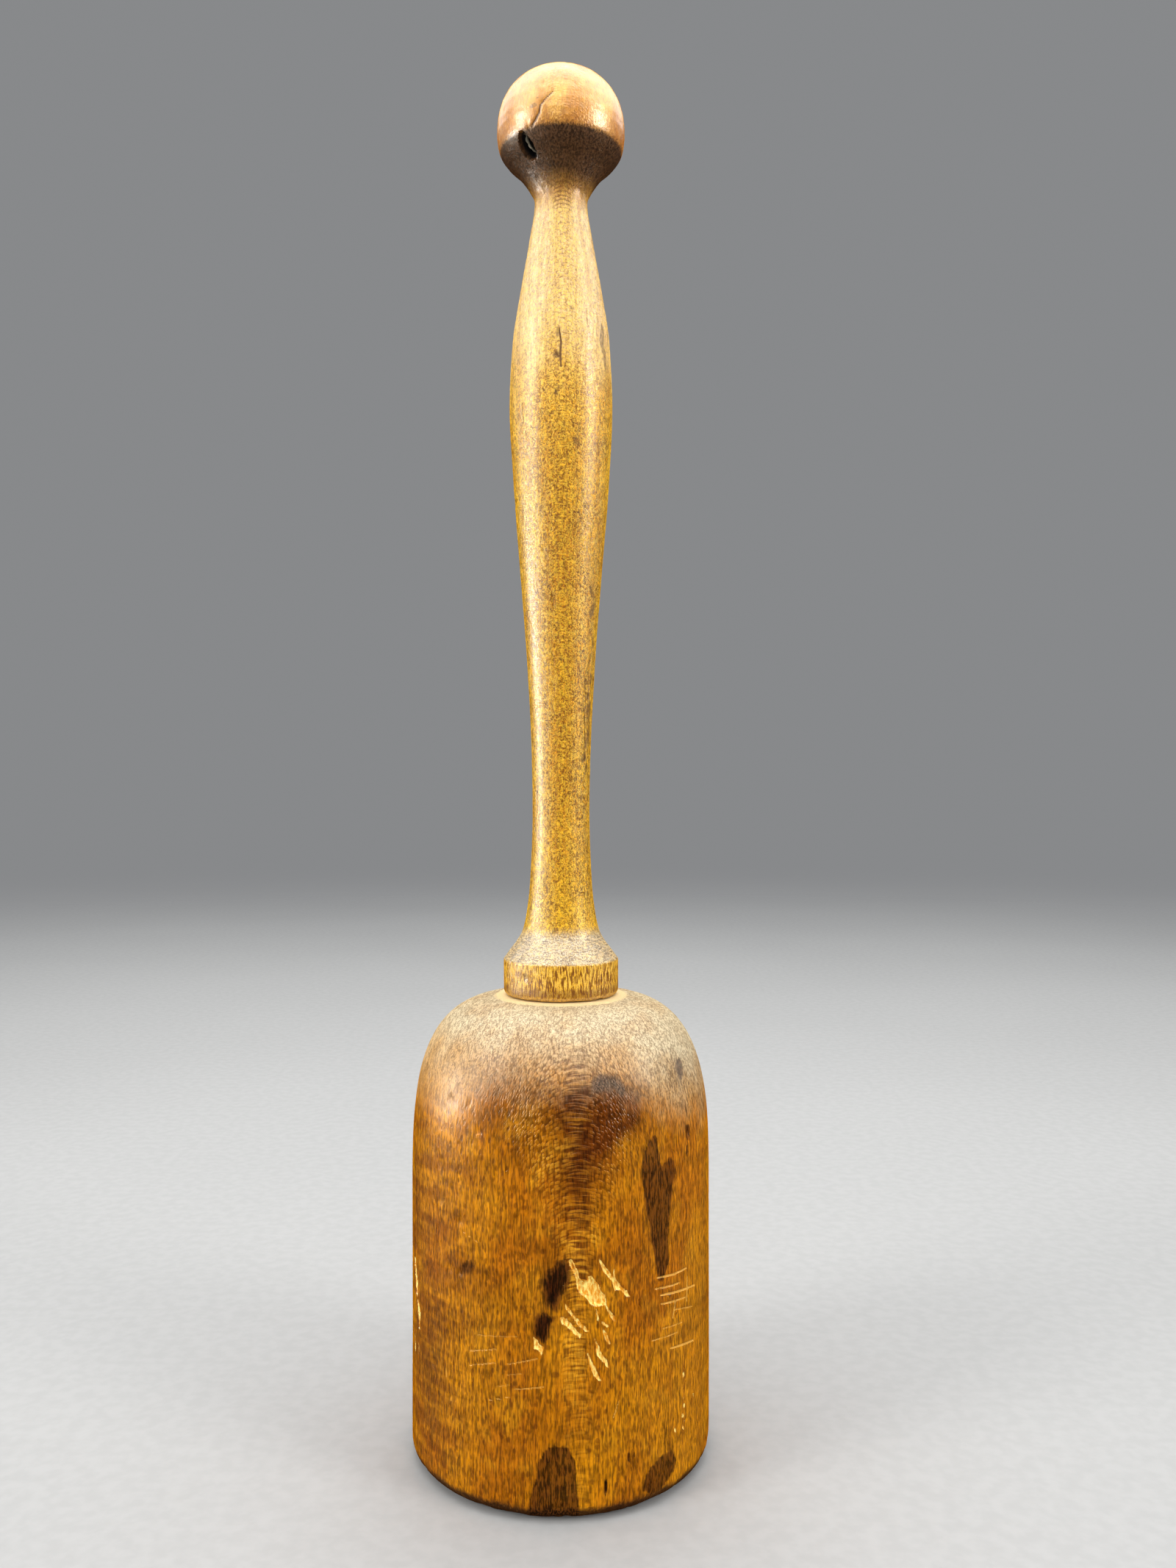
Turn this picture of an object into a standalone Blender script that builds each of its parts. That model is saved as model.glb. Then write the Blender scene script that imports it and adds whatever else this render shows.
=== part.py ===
"""Turned wooden meat mallet.

A heavy bell-shaped hardwood head with a flat striking face, and a lighter
turned handle: knob, neck, swelling grip, waist, flare and a short collar that
seats on the head.  The handle's lower end is a round tenon in a blind bored
socket, with a small wedge standing in a sawn kerf.

Frame: origin at the centre of the flat striking face, +Z up along the turning
axis towards the knob.  Metres.
"""
import math

import bmesh
import bpy

MM = 0.001
GAP = 0.3 * MM                    # clearance between two neighbouring pieces

# ---------------------------------------------------------------------- head
HEAD_RADIUS = 42.5 * MM           # straight side
HEAD_HEIGHT = 128.4 * MM          # striking face to flat top
SHOULDER_DROP = 53.5 * MM         # height of the rounded shoulder
SHOULDER_BOTTOM = HEAD_HEIGHT - SHOULDER_DROP
SHOULDER_FLAT_RADIUS = 10.7 * MM  # where the shoulder curve starts on top
SHOULDER_POWER = 3.15             # fullness of the shoulder (2 is an ellipse)
FACE_EDGE_RADIUS = 4.9 * MM       # rounded edge of the striking face

# ------------------------------------- handle, heights from the striking face
OVERALL_HEIGHT = 393.0 * MM
KNOB_RADIUS = 18.3 * MM
KNOB_HEIGHT = 375.2 * MM          # where the knob is widest
KNOB_POWER = 2.35                 # fullness of the knob's crown
NECK_RADIUS = 7.55 * MM
NECK_HEIGHT = 356.0 * MM
GRIP_RADIUS = 14.75 * MM
GRIP_HEIGHT = 297.0 * MM          # where the grip swells widest
WAIST_RADIUS = 8.2 * MM
WAIST_HEIGHT = 180.0 * MM
COLLAR_RADIUS = 16.45 * MM
COLLAR_BOTTOM = HEAD_HEIGHT + GAP
COLLAR_TOP = COLLAR_BOTTOM + 10.0 * MM
COLLAR_EASE = 0.9 * MM            # broken lower corner of the collar
COLLAR_EASE_BULGE = 0.3 * COLLAR_EASE  # inset of the middle point of that corner

# Stem from the collar up to the widest part of the knob: (height, radius)
STEM_STATIONS = [
    (COLLAR_TOP, COLLAR_RADIUS),            # upper corner of the collar
    (COLLAR_TOP + 2.6 * MM, 14.6 * MM),     # cone above the collar
    (COLLAR_TOP + 5.1 * MM, 12.7 * MM),
    (COLLAR_TOP + 8.0 * MM, 11.1 * MM),     # cone runs into the flare
    (COLLAR_TOP + 12.5 * MM, 10.0 * MM),
    (COLLAR_TOP + 21.5 * MM, 8.95 * MM),
    (WAIST_HEIGHT, WAIST_RADIUS),
    (200.0 * MM, 8.55 * MM),                # long swell of the grip
    (225.0 * MM, 9.9 * MM),
    (250.0 * MM, 11.8 * MM),
    (275.0 * MM, 13.75 * MM),
    (GRIP_HEIGHT, GRIP_RADIUS),
    (315.0 * MM, 13.95 * MM),               # quick taper to the neck
    (330.0 * MM, 11.75 * MM),
    (345.0 * MM, 9.1 * MM),
    (NECK_HEIGHT, NECK_RADIUS),
    (361.0 * MM, 9.8 * MM),                 # underside of the knob
    (365.0 * MM, 12.8 * MM),
    (368.3 * MM, 16.2 * MM),
    (371.3 * MM, 17.85 * MM),
    (KNOB_HEIGHT, KNOB_RADIUS),
]

# --------------------------------------------- joint between handle and head
TENON_RADIUS = 11.0 * MM
TENON_END = COLLAR_BOTTOM - 63.0 * MM
TENON_CHAMFER = 1.2 * MM
SOCKET_RADIUS = TENON_RADIUS + GAP
SOCKET_FLOOR = HEAD_HEIGHT - 64.0 * MM
SOCKET_OVERCUT = 5.0 * MM         # cutter stands above the head's top
KERF_LENGTH = 34.0 * MM
KERF_OVERCUT = 3.0 * MM           # cutter reaches below the tenon's end
KERF_CUTTER_WIDTH = 3.0 * TENON_RADIUS  # wider than the tenon, so it cuts right across
WEDGE_BOTTOM = SOCKET_FLOOR + GAP
WEDGE_LENGTH = 26.0 * MM
WEDGE_WIDTH = 20.0 * MM
WEDGE_THICK_BASE = 3.0 * MM
WEDGE_THICK_TIP = 0.8 * MM

# ---------------------------------------------------------------- resolution
HEAD_STEPS = 72                   # facets round the axis
HANDLE_STEPS = 48
SHOULDER_STEPS = 17               # segments along each part of a profile
SIDE_STEPS = 3
FACE_EDGE_STEPS = 5
CROWN_STEPS = 9
STEM_SPACING = 6.5 * MM           # target distance between stem points

TURNED_SHARP_ANGLE = 35.0         # degrees; sharper edges are not smoothed
WEDGE_SHARP_ANGLE = 20.0


def clear_scene():
    for obj in list(bpy.data.objects):
        bpy.data.objects.remove(obj, do_unlink=True)


def wood(name, colour, roughness):
    material = bpy.data.materials.new(name)
    material.use_nodes = True
    shader = material.node_tree.nodes["Principled BSDF"]
    shader.inputs["Base Color"].default_value = (*colour, 1.0)
    shader.inputs["Roughness"].default_value = roughness
    shader.inputs["Metallic"].default_value = 0.0
    return material


# ------------------------------------------- profiles: (radius, height) points
def smooth_curve(stations, spacing):
    """Monotone cubic through (height, radius) stations, as (radius, height) points."""
    spans = list(zip(stations, stations[1:]))
    slopes = [(r1 - r0) / (z1 - z0) for (z0, r0), (z1, r1) in spans]
    # Harmonic mean of neighbouring slopes, flat at a peak or a dip
    tangents = [slopes[0]]
    for below, above in zip(slopes, slopes[1:]):
        turns = below * above <= 0.0
        tangents.append(0.0 if turns else 2.0 * below * above / (below + above))
    tangents.append(0.0)

    points = []
    for i, ((z0, r0), (z1, r1)) in enumerate(spans):
        rise = z1 - z0
        steps = max(1, round(math.hypot(rise, r1 - r0) / spacing))
        for k in range(steps):
            t = k / steps
            radius = (
                (2 * t**3 - 3 * t**2 + 1) * r0
                + (t**3 - 2 * t**2 + t) * rise * tangents[i]
                + (3 * t**2 - 2 * t**3) * r1
                + (t**3 - t**2) * rise * tangents[i + 1]
            )
            points.append((radius, z0 + rise * t))
    last_height, last_radius = stations[-1]
    points.append((last_radius, last_height))
    return points


def full_quarter(r_in, r_out, z_low, height, power, steps):
    """Super-elliptic quarter from (r_in, z_low + height) out to (r_out, z_low)."""
    points = []
    for k in range(steps + 1):
        angle = 0.5 * math.pi * k / steps
        points.append((r_in + (r_out - r_in) * math.sin(angle) ** (2.0 / power),
                       z_low + height * math.cos(angle) ** (2.0 / power)))
    return points


def head_profile():
    """Down the outer side, axis to axis."""
    points = [(0.0, HEAD_HEIGHT)]
    points += full_quarter(r_in=SHOULDER_FLAT_RADIUS, r_out=HEAD_RADIUS,
                           z_low=SHOULDER_BOTTOM, height=SHOULDER_DROP,
                           power=SHOULDER_POWER, steps=SHOULDER_STEPS)
    for k in range(1, SIDE_STEPS):
        drop = (FACE_EDGE_RADIUS - SHOULDER_BOTTOM) * k / SIDE_STEPS
        points.append((HEAD_RADIUS, SHOULDER_BOTTOM + drop))
    for k in range(FACE_EDGE_STEPS + 1):
        angle = 0.5 * math.pi * k / FACE_EDGE_STEPS
        points.append((HEAD_RADIUS - FACE_EDGE_RADIUS * (1 - math.cos(angle)),
                       FACE_EDGE_RADIUS * (1 - math.sin(angle))))
    points.append((0.0, 0.0))
    return points


def handle_profile():
    """Down the outer side: knob, grip, collar, tenon."""
    crown = full_quarter(r_in=0.0, r_out=KNOB_RADIUS, z_low=KNOB_HEIGHT,
                         height=OVERALL_HEIGHT - KNOB_HEIGHT,
                         power=KNOB_POWER, steps=CROWN_STEPS)
    stem = smooth_curve(STEM_STATIONS, STEM_SPACING)
    stem.pop()  # the crown already ends on this point
    return crown + stem[::-1] + [
        (COLLAR_RADIUS, COLLAR_BOTTOM + COLLAR_EASE),
        (COLLAR_RADIUS - COLLAR_EASE_BULGE, COLLAR_BOTTOM + COLLAR_EASE_BULGE),
        (COLLAR_RADIUS - COLLAR_EASE, COLLAR_BOTTOM),
        (TENON_RADIUS, COLLAR_BOTTOM),
        (TENON_RADIUS, TENON_END + TENON_CHAMFER),
        (TENON_RADIUS - TENON_CHAMFER, TENON_END),
        (0.0, TENON_END),
    ]


# -------------------------------------------------------------------- solids
def add_object(name, bm):
    """Turn a closed bmesh into an object in the scene."""
    bmesh.ops.recalc_face_normals(bm, faces=bm.faces[:])
    mesh = bpy.data.meshes.new(name)
    bm.to_mesh(mesh)
    bm.free()
    obj = bpy.data.objects.new(name, mesh)
    bpy.context.scene.collection.objects.link(obj)
    return obj


def turned(name, profile, steps):
    """Spin a profile round Z; it starts and ends on the axis."""
    bm = bmesh.new()
    outline = [bm.verts.new((radius, 0.0, z)) for radius, z in profile[1:-1]]
    edges = [bm.edges.new(pair) for pair in zip(outline, outline[1:])]
    bmesh.ops.spin(bm, geom=outline + edges, cent=(0, 0, 0), axis=(0, 0, 1), dvec=(0, 0, 0),
                   angle=2.0 * math.pi, steps=steps, use_merge=True)
    bmesh.ops.remove_doubles(bm, verts=bm.verts[:], dist=1e-7)
    # Close both ends with a fan to the axis
    for (_, tip_z), (_, ring_z) in ((profile[0], profile[1]), (profile[-1], profile[-2])):
        rim = [edge for edge in bm.edges if edge.is_boundary
               and all(abs(vert.co.z - ring_z) < 1e-7 for vert in edge.verts)]
        tip = bm.verts.new((0.0, 0.0, tip_z))
        for edge in rim:
            bm.faces.new((*edge.verts, tip))
    return add_object(name, bm)


def wedge_half(z):
    """Half thickness of the wedge's taper at height z."""
    t = (z - WEDGE_BOTTOM) / WEDGE_LENGTH
    return 0.5 * (WEDGE_THICK_BASE + (WEDGE_THICK_TIP - WEDGE_THICK_BASE) * t)


def taper_block(name, low, high, width, clearance=0.0):
    """Upright block across Y, its X thickness following the wedge's taper."""
    bm = bmesh.new()
    bmesh.ops.create_cube(bm, size=1.0)
    for vert in bm.verts:
        z = high if vert.co.z > 0.0 else low
        half = wedge_half(z) + clearance
        vert.co = (math.copysign(half, vert.co.x), math.copysign(0.5 * width, vert.co.y), z)
    return add_object(name, bm)


def cut(target, cutter):
    cutter.hide_render = True
    cutter.display_type = "WIRE"
    modifier = target.modifiers.new("cut_" + cutter.name, "BOOLEAN")
    modifier.operation = "DIFFERENCE"
    modifier.solver = "EXACT"
    modifier.object = cutter


def finish(obj, material, sharp_angle=TURNED_SHARP_ANGLE):
    obj.data.materials.append(material)
    obj.data.shade_smooth()
    obj.data.set_sharp_from_angle(angle=math.radians(sharp_angle))


# -------------------------------------------------------------------- pieces
def make_head():
    head = turned("head", head_profile(), HEAD_STEPS)
    socket_top = HEAD_HEIGHT + SOCKET_OVERCUT
    socket = turned("socket_cutter", [
        (0.0, socket_top),
        (SOCKET_RADIUS, socket_top),
        (SOCKET_RADIUS, SOCKET_FLOOR),
        (0.0, SOCKET_FLOOR),
    ], HANDLE_STEPS)
    cut(head, socket)
    finish(head, wood("head_wood", colour=(0.42, 0.19, 0.065), roughness=0.35))


def make_handle():
    handle = turned("handle", handle_profile(), HANDLE_STEPS)
    kerf = taper_block("kerf_cutter", TENON_END - KERF_OVERCUT, TENON_END + KERF_LENGTH,
                       KERF_CUTTER_WIDTH, clearance=GAP)
    cut(handle, kerf)
    finish(handle, wood("handle_wood", colour=(0.62, 0.33, 0.10), roughness=0.38))


def make_wedge():
    """Thick end down, just above the socket floor."""
    wedge = taper_block("tenon_wedge", WEDGE_BOTTOM, WEDGE_BOTTOM + WEDGE_LENGTH, WEDGE_WIDTH)
    finish(wedge, wood("wedge_wood", colour=(0.55, 0.36, 0.18), roughness=0.6),
           WEDGE_SHARP_ANGLE)


clear_scene()
make_head()
make_handle()
make_wedge()
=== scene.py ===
"""Turned wooden mallet standing on its head: a varnished block, a handle with a knob at the
top, and a small wedge in the handle's tenon.

The axis is Z, with the striking face at z = 0. The front looks along -Y and +X is on the right.
Shapes are worked out in millimetres and turned into metres when a mesh is written. Angles run
round the axis from the front, positive to the right.
"""
import math
from types import SimpleNamespace

import bmesh
import bpy
import numpy as np
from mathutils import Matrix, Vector


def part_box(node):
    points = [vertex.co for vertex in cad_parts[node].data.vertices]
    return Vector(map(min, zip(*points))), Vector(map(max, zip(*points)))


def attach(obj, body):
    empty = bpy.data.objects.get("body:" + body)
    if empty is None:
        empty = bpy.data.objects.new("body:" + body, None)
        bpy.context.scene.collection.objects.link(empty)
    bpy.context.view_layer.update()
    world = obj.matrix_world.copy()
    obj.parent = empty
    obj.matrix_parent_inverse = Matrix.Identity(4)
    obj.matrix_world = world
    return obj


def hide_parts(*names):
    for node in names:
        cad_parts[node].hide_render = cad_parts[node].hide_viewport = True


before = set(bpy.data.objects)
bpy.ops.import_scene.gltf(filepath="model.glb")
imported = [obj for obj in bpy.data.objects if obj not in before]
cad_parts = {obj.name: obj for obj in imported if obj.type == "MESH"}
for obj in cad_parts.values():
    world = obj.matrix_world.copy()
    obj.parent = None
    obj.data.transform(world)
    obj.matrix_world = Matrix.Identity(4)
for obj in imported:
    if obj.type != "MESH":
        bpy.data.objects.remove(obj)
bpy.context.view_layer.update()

MM = 0.001
TAU = 2.0 * math.pi
_, head_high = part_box("head")
handle_low, handle_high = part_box("handle")
wedge_low, wedge_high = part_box("tenon_wedge")

GAP = 0.3                          # clearance between fitted parts
HEAD_R = head_high.x / MM
HEAD_H = head_high.z / MM
SHOULDER_H = 53.5                  # height of the head's rounded shoulder
SEAT_R = 16.2                      # flat ring on top of the head
FOOT_EASE = 4.9                    # radius of the head's lower edge
TENON_R = 11.0
TENON_END = handle_low.z / MM
SOCKET_R = TENON_R + GAP
SOCKET_FLOOR = HEAD_H - 64.0
COLLAR_R = 16.48
COLLAR_LOW = HEAD_H + GAP
COLLAR_UP = COLLAR_LOW + 10.0
TOP = handle_high.z / MM
KNOB_R = handle_high.x / MM
KNOB_WIDEST = 375.2                # height of the knob's widest ring
GRIP_R = 14.0                      # radius used to unroll the marks on the grip
WEDGE_BASE = wedge_low.z / MM
WEDGE_TIP = wedge_high.z / MM
WEDGE_THICK, WEDGE_THIN = 3.0, 0.8  # thickness at the base and at the tip
KERF_TAPER_H = 26.0                # height over which the kerf narrows like the wedge


# ----------------------------------------------------------------- noise
def lattice(ix, iy, iz, seed):
    """Repeatable random value in [-1, 1] at whole-number places."""
    n = (ix * 374761393 + iy * 668265263 + iz * 1440662683 + seed * 974634777) & 0xFFFFFFFF
    n = ((n ^ (n >> 13)) * 1274126177) & 0xFFFFFFFF
    n = ((n ^ (n >> 15)) * 2246822519) & 0xFFFFFFFF
    return ((n ^ (n >> 16)) & 0xFFFFFFFF) / 4294967295.0 * 2.0 - 1.0


def noise3(x, y, z, seed):
    """Smooth value noise in [-1, 1]."""
    floors = [np.floor(a) for a in (x, y, z)]
    ix, iy, iz = [a.astype(np.int64) for a in floors]
    parts = [a - low for a, low in zip((x, y, z), floors)]
    u, v, w = [a * a * a * (a * (a * 6 - 15) + 10) for a in parts]
    total = 0.0
    for i in (0, 1):
        for j in (0, 1):
            for k in (0, 1):
                weight = (u if i else 1 - u) * (v if j else 1 - v) * (w if k else 1 - w)
                total = total + weight * lattice(ix + i, iy + j, iz + k, seed)
    return total


def fbm(x, y, z, seed, octaves=2):
    """Layered noise: each octave is twice as fine and half as strong."""
    total, strength, weight = 0.0, 1.0, 0.0
    for k in range(octaves):
        total = total + strength * noise3(x * 2**k, y * 2**k, z * 2**k, seed + 17 * k)
        weight += strength
        strength *= 0.5
    return total / weight


def smoothstep(value, start, end):
    t = np.clip((value - start) / (end - start), 0.0, 1.0)
    return t * t * (3 - 2 * t)


# ---------------------------------------------------------- profile curves
def quarter(inner, outer, low, height, power, count):
    """Quarter of a superellipse from the axis side at the top to the outer side at the bottom."""
    a = np.linspace(0.0, 0.5 * math.pi, count)
    return (inner + (outer - inner) * np.sin(a) ** (2 / power),
            low + height * np.cos(a) ** (2 / power))


def monotone(stations, count):
    """Smooth curve through (height, radius) stations that never overshoots them."""
    z = [s[0] for s in stations]
    r = [s[1] for s in stations]
    spans = range(len(z) - 1)
    slopes = [(r[i + 1] - r[i]) / (z[i + 1] - z[i]) for i in spans]
    inner = [0.0 if a * b <= 0 else 2 * a * b / (a + b) for a, b in zip(slopes, slopes[1:])]
    tangents = [slopes[0]] + inner + [0.0]
    heights, radii = [], []
    for i in spans:
        h = z[i + 1] - z[i]
        for t in np.arange(count) / count:
            heights.append(z[i] + h * t)
            radii.append((2 * t**3 - 3 * t**2 + 1) * r[i]
                         + (t**3 - 2 * t**2 + t) * h * tangents[i]
                         + (3 * t**2 - 2 * t**3) * r[i + 1]
                         + (t**3 - t**2) * h * tangents[i + 1])
    return np.array(radii + [r[-1]]), np.array(heights + [z[-1]])


def travel(radii, heights):
    """Distance along a profile at each of its points."""
    return np.concatenate([[0], np.cumsum(np.hypot(np.diff(radii), np.diff(heights)))])


def resample(radii, heights, step_at):
    """Walk a dense profile, keeping points step_at(height) mm apart."""
    path = travel(radii, heights)
    keep = [0.0]
    while True:
        step = step_at(np.interp(keep[-1], path, heights))
        ahead = keep[-1] + step
        if ahead >= path[-1] - 0.4 * step:
            break
        keep.append(ahead)
    keep.append(path[-1])
    return np.interp(keep, path, radii), np.interp(keep, path, heights)


def columns(bands):
    """Column angles from bands (from, to, step) in degrees, from -180 to 180."""
    angles = []
    for start, end, step in bands:
        count = max(1, round((end - start) / step))
        angles += [start + (end - start) * k / count for k in range(count)]
    return np.radians(np.array(angles))


def strip(left, width, turn, v):
    """UV points on one row of an unrolled band."""
    return np.stack([left + width * turn, np.full_like(turn, v)], -1)


def lathe(name, radii, heights, angles, surface, uv_of, pole_first, pole_last):
    """Closed turned body. The profile runs down the outer side between two poles.

    surface(angle, radius, height) gives the move along the outward normal in mm and the
    point attributes; uv_of(face_row, row, turn) gives the UV points of a row, where row -1
    is the first pole and the row after the last is the last pole.
    """
    rows, cols = len(radii), len(angles)
    angle = np.repeat(angles[None], rows, 0)
    radius = np.repeat(radii[:, None], cols, 1)
    height = np.repeat(heights[:, None], cols, 1)
    run, drop = np.gradient(radii), np.gradient(heights)
    length = np.hypot(run, drop) + 1e-9
    move, masks = surface(angle, radius, height)
    new_radius = radius + (-drop / length)[:, None] * move
    new_height = height + (run / length)[:, None] * move
    points = np.stack([new_radius * np.sin(angle), -new_radius * np.cos(angle), new_height], -1)
    points = np.concatenate([points.reshape(-1, 3), [[0, 0, pole_first], [0, 0, pole_last]]]) * MM

    here = np.arange(rows * cols).reshape(rows, cols)
    beside = np.roll(here, -1, axis=1)
    quads = np.stack([here[:-1], here[1:], beside[1:], beside[:-1]], -1).reshape(-1, 4)
    first, last = np.full(cols, rows * cols), np.full(cols, rows * cols + 1)
    fans = np.stack([[here[0], beside[0], first], [beside[-1], here[-1], last]])
    corners = np.concatenate([quads.ravel(), fans.transpose(0, 2, 1).ravel()])
    starts = np.concatenate([np.arange(len(quads)) * 4, quads.size + np.arange(2 * cols) * 3])
    mesh = bpy.data.meshes.new(name)
    mesh.vertices.add(len(points))
    mesh.vertices.foreach_set("co", points.astype(np.float32).ravel())
    mesh.loops.add(len(corners))
    mesh.loops.foreach_set("vertex_index", corners.astype(np.int32))
    mesh.polygons.add(len(starts))
    mesh.polygons.foreach_set("loop_start", starts.astype(np.int32))
    mesh.update(calc_edges=True)

    turns = (np.append(angles, angles[0] + TAU) - angles[0]) / TAU
    near, far = turns[:-1], turns[1:]
    middle = 0.5 * (near + far)
    quad_uv = np.empty((rows - 1, cols, 4, 2))
    for i in range(rows - 1):
        for k, (row, turn) in enumerate(((i, near), (i + 1, near), (i + 1, far), (i, far))):
            quad_uv[i, :, k] = uv_of(i, row, turn)
    fan_uv = np.empty((2, cols, 3, 2))
    ends = (-1, ((0, near), (0, far), (-1, middle))), \
           (rows - 1, ((rows - 1, far), (rows - 1, near), (rows, middle)))
    for fan, (face_row, fan_corners) in enumerate(ends):
        for k, (row, turn) in enumerate(fan_corners):
            fan_uv[fan, :, k] = uv_of(face_row, row, turn)
    layer = mesh.uv_layers.new(name="OFBake")
    uvs = np.concatenate([quad_uv.ravel(), fan_uv.ravel()])
    layer.data.foreach_set("uv", uvs.astype(np.float32))
    for key, mask in masks.items():
        flat = mask.ravel()
        values = np.concatenate([flat, [flat[0], flat[-1]]])
        attribute = mesh.attributes.new(key, "FLOAT", "POINT")
        attribute.data.foreach_set("value", values.astype(np.float32))
    mesh.validate()
    return link(name, mesh)


def link(name, data):
    obj = bpy.data.objects.new(name, data)
    bpy.context.scene.collection.objects.link(obj)
    return obj


def soften(obj):
    """Smooth shading that keeps the turned corners crisp."""
    obj.data.shade_smooth()
    obj.data.set_sharp_from_angle(angle=math.radians(48))


# ------------------------------------------------------ marks on the head
# Angles are in degrees, heights and sizes in mm.
# Fresh gouges that bare pale wood: depth, outline of (angle, height).
CHIPS = [
    (0.95, [(4.2, 67.9), (5.2, 67.8), (5.5, 66.9), (6.9, 65.1), (7.7, 62.8), (8.9, 62),
            (10, 62.2), (10.4, 63.3), (11.7, 63.4), (13.4, 62), (14.6, 60.9), (15.2, 59.1),
            (16.6, 58.2), (17.1, 55.9), (18, 54.3), (19.5, 52.8), (20.6, 52.2), (20.3, 50.7),
            (19.1, 51.6), (17.3, 53.8), (16.6, 55.4), (14.8, 55.3), (13.1, 55.3), (11.3, 56.1),
            (9.6, 57.9), (7.2, 59.3), (6.5, 61.1), (6.5, 62.6), (5.5, 64.4), (4.3, 66.2),
            (3.5, 67.4)]),
    (0.7, [(14.1, 67.7), (15.2, 67.1), (16.6, 65.5), (17.7, 64.4), (18.9, 63), (19.6, 62.2),
           (19.8, 64.5), (20.5, 64.4), (20.6, 61.8), (21.7, 60.7), (23.6, 59.2), (25.1, 58),
           (26.2, 56.6), (25.1, 56.6), (23.6, 57.6), (21.7, 58.8), (20.1, 59), (19.5, 60.2),
           (19.2, 61.2), (18, 62.1), (16.6, 63.5), (15.5, 64.8), (14.8, 66.2)]),
    (0.55, [(2.1, 57.4), (3.1, 56.2), (4.5, 54.9), (5.7, 53.5), (7, 52.6), (8.4, 51.3),
            (9.8, 50.2), (10.9, 49.1), (9.6, 49.2), (7.9, 50.3), (6.5, 51.4), (5.2, 52.9),
            (3.7, 54.3), (2.5, 55.8)]),
    (0.6, [(0.7, 52.9), (2.1, 53.4), (3.5, 52.2), (4.9, 51.4), (6, 50.3), (7, 49.1),
           (8.7, 48.6), (7.6, 47.3), (6.8, 48.1), (5.4, 48.9), (4, 50.2), (2.7, 51),
           (1.4, 51.5)]),
    (0.4, [(13.3, 54.8), (14.2, 54.2), (14.4, 51.4), (13.8, 51.7), (13.6, 53.4)]),
    (0.3, [(15, 51.6), (16.6, 51), (18.2, 49.9), (17.3, 49.7), (15.8, 50.4)]),
    (0.5, [(15.7, 49.9), (17, 48.4), (18.2, 46.7), (18.9, 45), (17.7, 45.1), (16.5, 46.7),
           (15.6, 48.4)]),
    (0.5, [(12.9, 47.2), (14.2, 45.6), (15, 43.7), (16.4, 42.1), (17.5, 40.7), (18.2, 38.9),
           (16.9, 39.7), (15.5, 41.3), (14, 42.4), (13.3, 43.8)]),
    (0.55, [(10.2, 43.9), (11.2, 43), (11.8, 41.5), (13.2, 39.6), (14.3, 37.7), (15.7, 35.9),
            (14.1, 36.3), (12.6, 37.7), (11.4, 39.3), (10.7, 41.2)]),
    (0.45, [(-8.4, 48), (-7, 47.3), (-6.6, 46), (-4.5, 45.6), (-4.9, 44.5), (-5.6, 42.8),
            (-6.2, 43.9), (-7.1, 44.6), (-8.4, 44.8)]),
]
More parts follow.
